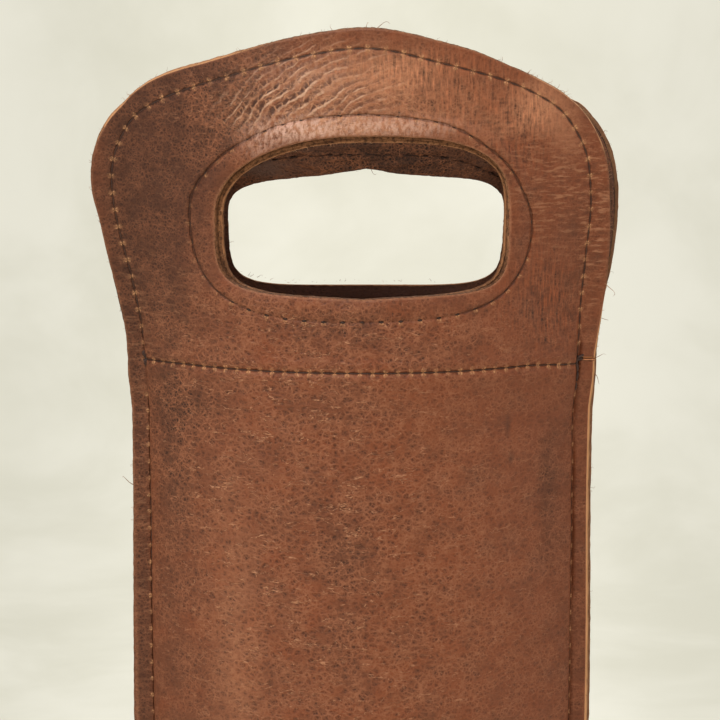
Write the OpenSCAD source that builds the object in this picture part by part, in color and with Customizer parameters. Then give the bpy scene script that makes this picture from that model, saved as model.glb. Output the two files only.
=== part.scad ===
// Carrier for one bottle: two leather panels sewn together along raw side flanges, a sewn-in
// foot, and a lined head with a hand opening at the top of each panel.
// Millimetres. X runs to the right, Y to the rear, Z up. The foot stands on Z = 0.
//
// The leather is drawn flat and then bent. A flat place is [s, h]: s runs across a panel from
// its middle, h runs up it from the foot. The function skin() carries a flat place to space.

/* [Bottle] */
// Diameter of the bottle that the foot is cut for
bottle_d = 76; // [70:1:80]
// Room round the bottle at the foot
bottle_room = 3; // [1:0.5:5]

/* [Leather] */
// Thickness of the outer panels
panel_t = 1.8; // [1.2:0.1:2.4]
// Thickness of the facing that lines each head
facing_t = 1.5; // [1:0.1:2]
// Thickness of the foot
foot_t = 2.4; // [1.6:0.1:3.2]

/* [Pouch] */
// From the middle of a panel to its side seam, across the leather
seam_half = 68.5; // [64:0.5:76]
// Width of the raw flange outside each side seam
flange_w = 5.5; // [4:0.5:7]
// Height of the cross seam, where pouch and head meet
seam_h = 284; // [264:2:304]
// Half the depth of the pouch at its mouth
mouth_depth = 26.3; // [22:0.1:30]
// Height over which the pouch keeps the depth of its foot
foot_h = 15; // [14:0.5:20]
// Depth of the rim turned down round the foot
rim_h = 10; // [8:0.5:11]

/* [Head] */
// Height of the head above the cross seam, at its middle
head_h = 97; // [90:1:104]
// How far the facing reaches below the cross seam
hem_h = 8; // [6:0.5:10]
// Width of the hand opening
open_w = 83; // [76:1:88]
// Height of the hand opening
open_h = 45.8; // [40:0.2:50]
// Bottom of the hand opening above the cross seam
open_rise = 21.2; // [19:0.2:24]

/* [Stitching] */
// Diameter of the thread
thread_d = 0.9; // [0.6:0.1:1.2]
// Distance from one needle hole to the next
pitch = 5; // [4:0.5:7]
// From the edge of the head to its row of stitches
edge_margin = 5.2; // [4:0.2:6]
// From the side of the hand opening to its row of stitches
ring_side = 8; // [6:0.5:9]
// From the top of the hand opening to its row of stitches
ring_top = 5.4; // [4:0.2:7]
// From the bottom of the hand opening to its row of stitches
ring_bottom = 6.8; // [5:0.2:8]

/* [Bend] */
// From the cross seam down to the line where the leather bends
bend_drop = 3; // [2:0.5:4]
// Angle through which each head can be folded outwards
bend_deg = 25; // [10:1:25]
// Gap between pieces that move past each other
gap = 0.3; // [0.2:0.05:0.4]

/* [Hidden] */

front = -1;
rear = 1;
panel_half = seam_half + flange_w;
foot_depth = bottle_d / 2 + bottle_room;
bend_h = seam_h - bend_drop;
hem_bottom = seam_h - hem_h;
open_mid = seam_h + open_rise + open_h / 2;
// Half the space kept between the two panels where both facings lie between them
layer_gap = facing_t + gap / 2;
// The hinge line of each head lies this far from the middle plane
hinge_y = layer_gap + panel_t - gap / 2;
// Step over which slopes of the leather are measured
probe = seam_half / 200;

// Depth of the pouch falls from foot to mouth along this power
taper_power = 3.2;
// Lean towards the front, in degrees, at shares of the head's height
front_mid_lean_shares = [[0, 0], [0.25, -2], [0.6, 2], [1, 0]];
front_edge_lean_shares = [[0, 4], [0.3, 10], [0.6, 8], [1, 4]];
rear_mid_lean_shares = [[0, 6], [0.14, 30], [0.28, 38], [0.62, 38], [0.8, 22], [1, 12]];
rear_edge_lean_shares = [[0, 0], [0.25, 6], [0.6, 8], [1, 6]];
// The fold at the side seam opens into a soft bend above the cross seam, over this share of
// the head's height and by this share of the depth
fold_run_share = 0.2;
fold_soft_share = 0.06;
// Outline of the head from the right seam up to its peak, and its fuller left half, which only
// the front head has, hand cut: shares of the panel's half width and of the head's height
right_outline_shares = [
    [1, 0], [1.005, 0.15], [1.01, 0.3], [1, 0.45], [0.975, 0.59], [0.91, 0.7], [0.79, 0.795],
    [0.58, 0.88], [0.3, 0.953], [0.03, 1]
];
left_outline_shares = [
    [-1, 0], [-1.008, 0.11], [-1.04, 0.27], [-1.07, 0.43], [-1.08, 0.55], [-1.06, 0.64],
    [-1, 0.73], [-0.9, 0.805], [-0.75, 0.862], [-0.5, 0.922], [-0.25, 0.973]
];
// Roundness of the hand opening and of the stitches round it: 2 is an ellipse
open_top_power = 2.5;
open_bottom_power = 4.2;
ring_bottom_power = 3;

// How finely the leather is divided
columns = 20;
pouch_row_shares = [0, 0.1, 0.2, 0.32, 0.45, 0.6, 0.75, 0.88, 0.96, 1];
head_ring_shares = [0, 0.22, 0.48, 0.75, 1];
outline_cuts = 3;
opening_cuts = 72;
// The bending strip spans this share of the panel between its seams
strip_share = 0.8;
// A stitch covers this share of its pitch
stitch_share = 0.78;
leg_d = thread_d * 0.7;
$fn = 24;

grain = [0.48, 0.27, 0.17];
lining = [0.38, 0.22, 0.15];
sole = [0.42, 0.24, 0.15];
thread = [0.24, 0.15, 0.11];

function mix(a, b, t) = a + (b - a) * t;
function clamp(t) = min(1, max(0, t));
function ease(t) = let (c = clamp(t)) c * c * (3 - 2 * c);
function deg(a) = a * 180 / PI;
function unit(v) = v / norm(v);
function reversed(list) = [for (i = [len(list) - 1:-1:0]) list[i]];
function joined(lists) = [for (l = lists) each l];

// Angle in radians through which a half arc turns when its depth is q of its length
function turn_of(q, a, left = 6) =
    left == 0 ? a
    : let (c = cos(deg(a)), s = sin(deg(a)))
      turn_of(q, a - ((1 - c) / a - q) * a * a / (s * a - 1 + c), left - 1);

// [forward, up] after a length of sheet whose lean turns evenly from one angle to another
function arc_run(from, to, length) =
    abs(to - from) < 0.01
    ? length * [sin(from), cos(from)]
    : length * 180 / PI / (to - from) * [cos(from) - cos(to), sin(to) - sin(from)];

// [forward, up] at a height on the head, for a table of leans
function lean_run(leans, h, i = 0) =
    let (
        low = leans[i][0] * head_h,
        high = leans[i + 1][0] * head_h,
        lean = mix(leans[i][1], leans[i + 1][1], (h - low) / (high - low))
    )
    h <= high || i == len(leans) - 2
    ? arc_run(leans[i][1], lean, h - low)
    : arc_run(leans[i][1], leans[i + 1][1], high - low) + lean_run(leans, h, i + 1);

function pouch_depth(h) =
    mix(mouth_depth, foot_depth, pow(1 - clamp((h - foot_h) / (seam_h - foot_h)), taper_power));
function flange_gap(h) = layer_gap * ease((h - hem_bottom + hem_h) / (bend_h - hem_bottom + hem_h));

// A flat place on the inner face of a panel, bent to its shape
function bent(side, s, h) =
    let (
        up = max(0, h - seam_h),
        mid = lean_run(side < 0 ? front_mid_lean_shares : rear_mid_lean_shares, up),
        edge = lean_run(side < 0 ? front_edge_lean_shares : rear_edge_lean_shares, up),
        mid_y = side * pouch_depth(h) - mid[0],
        edge_y = side * flange_gap(h) - edge[0],
        edge_z = min(h, seam_h) + edge[1],
        mid_z = min(h, seam_h) + mid[1],
        q = max(abs(mid_y - edge_y) / seam_half, 0.01),
        turn = turn_of(q, 2 * q),
        full = cos(deg(turn)),
        bulge = (cos(deg(turn * s / seam_half)) - full) / (1 - full),
        soft = fold_soft_share * ease(up / (fold_run_share * head_h)),
        share = (bulge + sqrt(bulge * bulge + soft * soft)) / 2,
        arc_x = seam_half / turn * sin(deg(turn * min(1, abs(s) / seam_half)))
    )
    [
        sign(s) * (arc_x + max(0, abs(s) - seam_half)),
        mix(edge_y, mid_y, share),
        mix(edge_z, mid_z, share)
    ];

// A flat place at a distance out from the inner face of a panel
function skin(side, s, h, out) =
    let (
        across = bent(side, s + probe, h) - bent(side, s - probe, h),
        along = bent(side, s, h + probe) - bent(side, s, h - probe)
    )
    bent(side, s, h) + out * side * unit(cross(along, across));

// Flat columns across a panel, from flange edge to flange edge
column_s = joined([
    [-panel_half],
    [for (i = [0:columns]) mix(-seam_half, seam_half, i / columns)],
    [panel_half]
]);
function between(list, low, high) = [for (v = list) if (v > low - probe && v < high + probe) v];
strip_s = between(column_s, -seam_half * strip_share, seam_half * strip_share);
hem_s = between(column_s, -seam_half * 0.9, seam_half * 0.9);

// Top edge of the pouch: it dips by what the head's edge comes down when folded outwards
function dip(side, s) =
    max(0, abs(skin(side, s, bend_h, panel_t)[1]) - hinge_y) * sin(bend_deg);
function pouch_top(side, s) = bend_h - dip(side, s);

// Rounded line through a list of flat places
function rounded(p, cuts) = joined([
    for (i = [0:len(p) - 2])
        let (a = p[max(0, i - 1)], b = p[i], c = p[i + 1], d = p[min(len(p) - 1, i + 2)])
        [
            for (k = [0:cuts - 1])
                let (t = k / cuts)
                (2 * b + (c - a) * t + (2 * a - 5 * b + 4 * c - d) * pow(t, 2)
                    + (3 * b - a - 3 * c + d) * pow(t, 3)) / 2
        ],
    [p[len(p) - 1]]
]);
function outline_shares(side) = concat(
    side < 0 ? left_outline_shares : [for (p = right_outline_shares) [-p[0], p[1]]],
    reversed(right_outline_shares)
);
function head_line(side) = rounded(
    [for (p = outline_shares(side)) [p[0] * panel_half, seam_h + p[1] * head_h]], outline_cuts);

// Edge of the hand opening, or of a line round it, in a direction from its middle
function opening(dir, half_w, top, bottom, top_power, bottom_power) =
    let (
        b = dir[1] > 0 ? top : bottom,
        n = dir[1] > 0 ? top_power : bottom_power
    )
    [0, open_mid] + dir / pow(pow(abs(dir[0]) / half_w, n) + pow(abs(dir[1]) / b, n), 1 / n);
function open_edge(dir) =
    opening(dir, open_w / 2, open_h / 2, open_h / 2, open_top_power, open_bottom_power);
function ring_edge(dir) =
    opening(dir, open_w / 2 + ring_side, open_h / 2 + ring_top, open_h / 2 + ring_bottom,
        open_top_power, ring_bottom_power);

// Outer edge of a head, clockwise from its lower right corner
function head_edge(side) = concat(
    [for (s = reversed(column_s)) [s, bend_h + gap]],
    head_line(side)
);

// Closed sheet between two matching grids of points, each a list of columns
module sheet(outer, inner, loop = false) {
    n = len(outer);
    rows = len(outer[0]);
    last = loop ? n - 1 : n - 2;
    function at(face, i, j) = (face * n + i % n) * rows + j;
    function quad(a, b, c, d) = [[a, b, c], [a, c, d]];
    faces = joined([
        for (i = [0:last], j = [0:rows - 2])
            quad(at(0, i, j), at(0, i, j + 1), at(0, i + 1, j + 1), at(0, i + 1, j)),
        for (i = [0:last], j = [0:rows - 2])
            [
                [at(1, i, j), at(1, i + 1, j + 1), at(1, i, j + 1)],
                [at(1, i, j), at(1, i + 1, j), at(1, i + 1, j + 1)]
            ],
        for (i = [0:last])
            quad(at(0, i, 0), at(0, i + 1, 0), at(1, i + 1, 0), at(1, i, 0)),
        for (i = [0:last], j = [rows - 1])
            quad(at(0, i + 1, j), at(0, i, j), at(1, i, j), at(1, i + 1, j)),
        for (j = loop ? [] : [0:rows - 2])
            quad(at(0, 0, j + 1), at(0, 0, j), at(1, 0, j), at(1, 0, j + 1)),
        for (j = loop ? [] : [0:rows - 2], i = [n - 1])
            quad(at(0, i, j), at(0, i, j + 1), at(1, i, j + 1), at(1, i, j))
    ]);
    polyhedron(concat(joined(outer), joined(inner)), faces, convexity = 10);
}

// Grid of points for a grid of flat places, its columns turned round on the rear
function laid(side, flat, out) = [
    for (column = side < 0 ? flat : reversed(flat))
        [for (p = column) skin(side, p[0], p[1], out)]
];

module bent_sheet(side, flat, out, in, loop = false) {
    sheet(laid(side, flat, out), laid(side, flat, in), loop);
}

module panel(side) {
    flat = [
        for (s = column_s)
            concat([[s, 0]], [
                for (t = pouch_row_shares) [s, mix(foot_h, pouch_top(side, s), t)]
            ])
    ];
    bent_sheet(side, flat, panel_t, 0);
}

module bend(side) {
    flat = [
        for (s = strip_s) [for (t = [0, 0.5, 1]) [s, mix(pouch_top(side, s), bend_h, t)]]
    ];
    bent_sheet(side, flat, panel_t, gap);
}

module head_sheet(side, out, in) {
    flat = [
        for (p = head_edge(side))
            let (q = open_edge(unit(p - [0, open_mid])))
            [for (share = head_ring_shares) mix(q, p, share)]
    ];
    bent_sheet(side, flat, out, in, loop = true);
}

module facing(side) {
    head_sheet(side, 0, -facing_t);
    flat = [for (s = hem_s) [for (h = [hem_bottom, bend_h, seam_h + hem_h / 4]) [s, h]]];
    bent_sheet(side, flat, -gap, -facing_t);
}

// Straight length of thread
module rod(a, b, d) {
    v = b - a;
    translate(a)
        rotate([0, acos(v[2] / norm(v)), atan2(v[1], v[0])])
            cylinder(h = norm(v), d = d);
}

// One stitch: thread on the grain face and down through the layers
module stitch(side, p, q, depth) {
    rod(skin(side, p[0], p[1], panel_t), skin(side, q[0], q[1], panel_t), thread_d);
    m = mix(p, q, thread_d / norm(q - p));
    rod(skin(side, m[0], m[1], panel_t), skin(side, m[0], m[1], -depth), leg_d);
}

// Row of stitches along a line of flat places
module stitch_row(side, line, depth) {
    steps = [for (i = [1:len(line) - 1]) norm(line[i] - line[i - 1])];
    run = [for (i = 0, d = 0; i < len(line); d = d + (i < len(steps) ? steps[i] : 0), i = i + 1) d];
    whole = run[len(run) - 1];
    count = round(whole / pitch);
    s_at = [for (i = [0:len(line) - 1]) [run[i], line[i][0]]];
    h_at = [for (i = [0:len(line) - 1]) [run[i], line[i][1]]];
    function place(d) = [lookup(d, s_at), lookup(d, h_at)];
    for (i = [0:count - 1])
        stitch(side, place(whole * (i + (1 - stitch_share) / 2) / count),
            place(whole * (i + (1 + stitch_share) / 2) / count), depth);
}

module edge_stitches(side) {
    edge = head_line(side);
    n = len(edge);
    line = [
        for (i = [0:n - 1])
            let (t = unit(edge[min(n - 1, i + 1)] - edge[max(0, i - 1)]))
            edge[i] + edge_margin * [t[1], -t[0]]
    ];
    stitch_row(side, line, facing_t - leg_d);
}

module opening_stitches(side) {
    line = [
        for (i = [0:opening_cuts])
            let (a = 360 * i / opening_cuts - 90) ring_edge([cos(a), sin(a)])
    ];
    stitch_row(side, line, facing_t - leg_d);
}

module cross_stitches(side) {
    end = seam_half - edge_margin;
    stitch_row(side, [[-end, seam_h], [end, seam_h]], facing_t - leg_d);
}

// One stitch of a side seam: thread on both flanges and through them
module flange_stitch(s, low, high) {
    rod(skin(front, s, low, panel_t), skin(front, s, high, panel_t), thread_d);
    rod(skin(rear, s, low, panel_t), skin(rear, s, high, panel_t), thread_d);
    m = low + thread_d;
    rod(skin(front, s, m, panel_t), skin(rear, s, m, panel_t), leg_d);
}

module side_stitches(hand) {
    top = hem_bottom;
    count = round((top - pitch) / pitch);
    for (i = [0:count - 1])
        flange_stitch(hand * (seam_half + thread_d), pitch / 2 + (i + (1 - stitch_share) / 2) * pitch,
            pitch / 2 + (i + (1 + stitch_share) / 2) * pitch);
}

foot_line = concat(
    [for (s = between(column_s, -seam_half, seam_half)) bent(front, s, 0)],
    [for (s = reversed(between(column_s, -seam_half * 0.99, seam_half * 0.99))) bent(rear, s, 0)]
);

module base() {
    color(sole) difference() {
        linear_extrude(rim_h + foot_t)
            polygon([for (p = foot_line) [p[0], p[1]]]);
        translate([0, 0, -gap])
            linear_extrude(rim_h + gap)
                polygon([for (p = foot_line) [p[0], p[1]] * (1 - foot_t / foot_depth)]);
    }
}

module base_stitches(side) {
    end = seam_half - pitch;
    stitch_row(side, [[-end, rim_h / 2], [end, rim_h / 2]], foot_t / 2);
}

module front_panel() { color(grain) panel(front); }
module rear_panel() { color(grain) panel(rear); }
module front_bend() { color(grain) bend(front); }
module rear_bend() { color(grain) bend(rear); }
module left_side_stitching() { color(thread) side_stitches(-1); }
module right_side_stitching() { color(thread) side_stitches(1); }
module base_stitching() {
    color(thread) {
        base_stitches(front);
        base_stitches(rear);
    }
}
module front_handle_panel() { color(grain) head_sheet(front, panel_t, 0); }
module front_facing() { color(lining) facing(front); }
module front_edge_stitching() { color(thread) edge_stitches(front); }
module front_opening_stitching() { color(thread) opening_stitches(front); }
module front_cross_stitching() { color(thread) cross_stitches(front); }
module rear_handle_panel() { color(grain) head_sheet(rear, panel_t, 0); }
module rear_facing() { color(lining) facing(rear); }
module rear_edge_stitching() { color(thread) edge_stitches(rear); }
module rear_opening_stitching() { color(thread) opening_stitches(rear); }
module rear_cross_stitching() { color(thread) cross_stitches(rear); }

front_panel();
rear_panel();
front_bend();
rear_bend();
base();
left_side_stitching();
right_side_stitching();
base_stitching();
front_handle_panel();
front_facing();
front_edge_stitching();
front_opening_stitching();
front_cross_stitching();
rear_handle_panel();
rear_facing();
rear_edge_stitching();
rear_opening_stitching();
rear_cross_stitching();
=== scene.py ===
import bpy
import math
import numpy as np
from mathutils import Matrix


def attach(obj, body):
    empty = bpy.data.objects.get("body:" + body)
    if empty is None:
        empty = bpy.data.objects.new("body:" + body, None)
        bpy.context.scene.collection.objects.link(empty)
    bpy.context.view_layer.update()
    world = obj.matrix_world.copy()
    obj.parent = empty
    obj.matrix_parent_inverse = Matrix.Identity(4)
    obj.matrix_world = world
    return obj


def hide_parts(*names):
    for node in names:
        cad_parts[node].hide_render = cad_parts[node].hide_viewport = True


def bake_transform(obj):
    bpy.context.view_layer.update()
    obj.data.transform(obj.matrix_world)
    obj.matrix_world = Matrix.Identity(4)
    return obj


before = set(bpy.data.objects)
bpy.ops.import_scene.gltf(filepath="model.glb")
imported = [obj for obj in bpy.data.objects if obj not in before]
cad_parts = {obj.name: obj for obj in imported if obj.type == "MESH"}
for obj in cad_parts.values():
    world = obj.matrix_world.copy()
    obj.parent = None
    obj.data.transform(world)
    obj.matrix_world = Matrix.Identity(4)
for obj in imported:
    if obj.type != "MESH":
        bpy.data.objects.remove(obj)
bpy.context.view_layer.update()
print("frame loaded")

mm = 0.001
uvSize = 100.0  # millimetres to one unit of the UV map
front, rear = -1, 1
sideNames = {front: "front", rear: "rear"}

# Sizes in millimetres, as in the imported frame. The leather is drawn flat, then bent: a flat
# place has s across a panel from its middle and h up it from the foot.
carrier = {
    "seamHalf": 68.5, "flange": 5.5, "seamHeight": 284, "headHeight": 97, "mouthDepth": 26.3,
    "bottle": 76, "bottleRoom": 3, "footHeight": 15, "taper": 3.2,
    "hem": 8, "bendDrop": 3, "gap": 0.3, "panel": 1.8, "facing": 1.5,
    "openWidth": 83, "openHeight": 45.8, "openRise": 21.2,
    "ringSide": 8, "ringTop": 5.4, "ringBottom": 6.8, "ringPowers": (2.5, 3),
    "edgeMargin": 5.2, "pitch": 5, "crossPitch": 3.5, "ringPitch": 5.4, "thread": 0.9, "rim": 10,
    "foot": 2.4, "bendTop": 330,
}
panelHalf = carrier["seamHalf"] + carrier["flange"]
footDepth = carrier["bottle"] / 2 + carrier["bottleRoom"]
seamHeight = carrier["seamHeight"]
bendHeight = seamHeight - carrier["bendDrop"]
hemBottom = seamHeight - carrier["hem"]
layerGap = carrier["facing"] + carrier["gap"] / 2
openMiddle = seamHeight + carrier["openRise"] + carrier["openHeight"] / 2
probe = carrier["seamHalf"] / 200

# Lean of each head towards the front, in degrees, at shares of its height
leans = {
    "frontMiddle": [(0, 0), (0.25, -2), (0.6, 2), (1, 0)],
    "frontEdge": [(0, 4), (0.3, 10), (0.6, 8), (1, 4)],
    "rearMiddle": [(0, 6), (0.14, 30), (0.28, 38), (0.62, 38), (0.8, 22), (1, 12)],
    "rearEdge": [(0, 0), (0.25, 6), (0.6, 8), (1, 6)],
}
foldShares = {"run": 0.2, "soft": 0.06, "crook": 0.05}
rightOutline = [(1, 0), (1.005, 0.15), (1.01, 0.3), (1, 0.45), (0.975, 0.59), (0.91, 0.7),
                (0.79, 0.795), (0.58, 0.88), (0.3, 0.953), (0.03, 1)]
leftOutline = [(-1, 0), (-1.008, 0.11), (-1.04, 0.27), (-1.07, 0.43), (-1.08, 0.55), (-1.06, 0.64),
               (-1, 0.73), (-0.9, 0.805), (-0.75, 0.862), (-0.5, 0.922), (-0.25, 0.973)]


def mix(a, b, t):
    return a + (b - a) * t


def unit(v):
    return v / np.linalg.norm(v, axis=-1, keepdims=True)


def ease(t):
    t = np.clip(t, 0, 1)
    return t * t * (3 - 2 * t)


def leanRun(table, up):
    # Forward and upward run along a head, for leans that turn evenly between the table's
    forward, upward = np.zeros_like(up), np.zeros_like(up)
    for i in range(len(table) - 1):
        (low, a), (high, b) = table[i], table[i + 1]
        full = (high - low) * carrier["headHeight"]
        top = np.inf if i == len(table) - 2 else full
        length = np.clip(up - low * carrier["headHeight"], 0, top)
        a, b = math.radians(a), math.radians(b)
        radius = full / (b - a if b != a else 1e-5)
        end = a + length / radius
        forward = forward + radius * (np.cos(a) - np.cos(end))
        upward = upward + radius * (np.sin(end) - np.sin(a))
    return forward, upward


def turnOf(q):
    # Angle through which a half arc turns when its depth is q of its length
    a = 2 * q
    for _ in range(6):
        a = a - ((1 - np.cos(a)) / a - q) * a * a / (a * np.sin(a) - 1 + np.cos(a))
    return a


def bent(side, s, h):
    # A flat place on the inner face of a panel, in space
    seamHalf = carrier["seamHalf"]
    up = np.maximum(0, h - seamHeight)
    fall = 1 - np.clip((h - carrier["footHeight"]) / (seamHeight - carrier["footHeight"]), 0, 1)
    depth = mix(carrier["mouthDepth"], footDepth, fall ** carrier["taper"])
    spread = layerGap * ease((h - hemBottom + carrier["hem"]) / (bendHeight - hemBottom + carrier["hem"]))
    middle = leanRun(leans[sideNames[side] + "Middle"], up)
    edge = leanRun(leans[sideNames[side] + "Edge"], up)
    middleY, edgeY = side * depth - middle[0], side * spread - edge[0]
    base = np.minimum(h, seamHeight)
    turn = turnOf(np.maximum(np.abs(middleY - edgeY) / seamHalf, 0.01))
    full = np.cos(turn)
    bulge = (np.cos(turn * s / seamHalf) - full) / (1 - full)
    soft = foldShares["soft"] * ease(up / (foldShares["run"] * carrier["headHeight"]))
    share = (bulge + np.sqrt(bulge * bulge + soft * soft)) / 2
    crook = foldShares["crook"] * ease((seamHeight + carrier["hem"] - h) / (2 * carrier["hem"]))
    share = share * share * (1 + crook) / (np.abs(share) + crook + 1e-9)
    arc = seamHalf / turn * np.sin(turn * np.minimum(1, np.abs(s) / seamHalf))
    x = np.sign(s) * (arc + np.maximum(0, np.abs(s) - seamHalf))
    return np.stack([x, mix(edgeY, middleY, share), mix(base + edge[1], base + middle[1], share)], -1)


def outwards(side, s, h):
    # Unit direction away from the inner face of a panel
    across = bent(side, s + probe, h) - bent(side, s - probe, h)
    along = bent(side, s, h + probe) - bent(side, s, h - probe)
    return unit(np.cross(along, across) * side)


def skin(side, s, h, out):
    s, h = np.asarray(s, float), np.asarray(h, float)
    return bent(side, s, h) + outwards(side, s, h) * np.broadcast_to(out, s.shape)[..., None]


# Lines on the flat leather

def rounded(points, cuts):
    # Smooth line through a few flat places
    p = np.array(points, float)
    line = []
    for i in range(len(p) - 1):
        a, b, c, d = p[max(0, i - 1)], p[i], p[i + 1], p[min(len(p) - 1, i + 2)]
        for t in np.arange(cuts) / cuts:
            line.append((2 * b + (c - a) * t + (2 * a - 5 * b + 4 * c - d) * t ** 2
                         + (3 * b - a - 3 * c + d) * t ** 3) / 2)
    return np.array(line + [p[-1]])


def runOf(line):
    steps = np.linalg.norm(np.diff(line, axis=0), axis=1)
    return np.concatenate([[0], np.cumsum(steps)])


def lengthOf(line):
    return runOf(line)[-1]


def heading(turn):
    return np.stack([np.cos(turn), np.sin(turn)], -1)


def placeOn(line, distances):
    run = runOf(line)
    return np.stack([np.interp(distances, run, line[:, k]) for k in (0, 1)], -1)


def sideways(line):
    # Unit flat direction to the right of a line's run
    run = unit(np.gradient(line, axis=0))
    return np.stack([run[:, 1], -run[:, 0]], -1)


def openingAt(directions, halfWidth, top, bottom, powers, shift=0.0, peak=0.0, sag=0.0):
    # Rounded outline met in each direction; powers at the top left, top right, bottom left and right
    upper = directions[:, 1] > 0
    flank = np.abs(directions[:, 0])
    b = np.where(upper, top * (1 - peak * flank), bottom * (1 - sag * flank))
    turned = ease(directions[:, 0] * 1.5 + 0.5)
    n = np.where(upper, mix(powers[0], powers[1], turned), mix(powers[2], powers[-1], turned))
    reach = (np.abs(directions[:, 0]) / halfWidth) ** n + (np.abs(directions[:, 1]) / b) ** n
    return np.array([shift, openMiddle]) + directions / reach[:, None] ** (1 / n[:, None])


# The two openings were cut by hand. The front facing's is smaller than its leather's, so that its
# edge shows all round; the rear one is a little further right, its leather trimmed below its facing
handCut = {
    front: {"halfWidth": 41.5, "top": 22.9, "bottom": 23.0, "powers": (2.1, 3.1, 5.0, 6.0), "sag": 0.05},
    rear: {"halfWidth": 39.8, "top": 24.2, "bottom": 23.4, "powers": (3.2, 3.6, 5.4), "shift": 1.1,
           "peak": 0.22},
}
facingCut = {"halfWidth": 40.6, "top": 21.0, "bottom": 23.2, "powers": (2.1, 3.2, 5.2, 5.4),
             "shift": 0.5, "sag": 0.05}
rearTrim = 2.4


def openEdge(side, directions, leather=False):
    cut = dict(handCut[side] if leather or side == rear else facingCut)
    if leather and side == rear:
        cut["bottom"] += rearTrim
    return openingAt(directions, **cut)


def cutLine(side, leather):
    return openEdge(side, heading(np.linspace(0, 2 * math.pi, 161)), leather)


# Millimetres by which the stitched ring lies further in, at degrees round the opening
ringIn = [(-180, 0), (-160, 0.6), (-130, 0), (-30, 0.4), (-20, 1.2), (-6, 0.5), (1.5, 1.0), (6, 2.6),
          (10, 3.6), (19, 3.7), (27, 3.4), (33, 2.6), (40, 1.2), (50, 0), (90, -0.9), (115, -0.3),
          (127, 0.2), (135, 1.0), (141, 1.7), (146, 2.4), (156, 2.7), (164, 2.5), (171, 0.8), (176, 0),
          (180, 0)]


def ringEdge(directions):
    half = carrier["openHeight"] / 2
    powers = (carrier["ringPowers"][0], *carrier["ringPowers"])
    even = openingAt(directions, carrier["openWidth"] / 2 + carrier["ringSide"],
                     half + carrier["ringTop"], half + carrier["ringBottom"], powers)
    turn = np.degrees(np.arctan2(directions[:, 1], directions[:, 0]))
    inward = sum(np.interp((turn + step + 180) % 360 - 180, *zip(*ringIn)) for step in (-3, -1, 1, 3)) / 4
    return even - directions * inward[:, None]


def fromMiddle(points):
    return unit(points - np.array([0, openMiddle]))


def evened(line, count=220, passes=4):
    # The same line with its points evenly spaced and its corners eased
    line = placeOn(line, np.linspace(0, lengthOf(line), count))
    for _ in range(passes):
        line[1:-1] = (line[:-2] + 2 * line[1:-1] + line[2:]) / 4
    return line


# Millimetres by which the outline and its stitched row are let out, at shares of the way from
# left to right; the front's right seam lies further in than the others
letOut = {
    front: [(0, 0.1), (0.05, -0.3), (0.077, -0.5), (0.1, -0.6), (0.14, -0.8), (0.17, 0.1), (0.2, 0.3),
            (0.25, 0.6), (0.268, 0.2), (0.29, 0.8), (0.31, 1.2), (0.335, 1.1), (0.36, 0.7), (0.4, 0.7),
            (0.5, 0.5), (0.55, 0.8), (0.6, 1.3), (0.625, 1.5), (0.65, 1.0), (0.675, 1.0), (0.7, 1.2),
            (0.725, 1.2), (0.75, 1.2), (0.775, 1.2), (0.8, 0.9), (0.825, 0.4), (0.9, 0.5), (0.93, 0.8),
            (0.97, 0.4), (1, 0)],
    rear: [(0.65, 0), (0.675, 1.0), (0.7, 2.0), (0.725, 2.0), (0.75, 0.9), (0.775, 0.3), (0.8, 0),
           (0.85, -0.5), (0.875, -0.8), (0.9, -1.0), (0.95, -1.2), (0.975, -0.3), (1, 0)],
}
rowLetOut = {
    front: [(0, 0), (0.1, -0.9), (0.15, -0.6), (0.2, -0.6), (0.25, 0), (0.5, 0), (0.575, 0.25),
            (0.6, 0.55), (0.625, 0.9), (0.65, 1.45), (0.675, 1.8), (0.7, 1.9), (0.725, 1.9),
            (0.75, 0.8), (0.775, 0.2), (0.8, -0.75), (0.825, -0.9), (0.85, -1.2), (0.875, -1.9),
            (0.9, -2.1), (1, -2.0)],
    rear: [(0.8, 0), (0.9, -1.0), (1, 0)],
}
seamIn = {front: 2.0, rear: 0.0}


def pushed(line, table):
    shares = runOf(line) / lengthOf(line)
    return line - sideways(line) * np.interp(shares, *zip(*table))[:, None]


def plainOutline(side):
    left = leftOutline if side == front else [(-s, h) for s, h in rightOutline]
    shares = left + rightOutline[::-1]
    return evened(rounded([(s * panelHalf, seamHeight + h * carrier["headHeight"]) for s, h in shares], 12))


headLines = {side: evened(pushed(plainOutline(side), letOut[side])) for side in (front, rear)}


def headLine(side):
    return headLines[side].copy()


def edgeRow(side):
    line = plainOutline(side)
    row = line + carrier["edgeMargin"] * sideways(line)
    end = panelHalf - carrier["edgeMargin"]
    row[0], row[-1] = (-end, seamHeight), (end, seamHeight)
    row = pushed(evened(row), rowLetOut[side])
    row[0], row[-1] = (-end, seamHeight), (end - seamIn[side], seamHeight)
    return evened(row)


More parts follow.
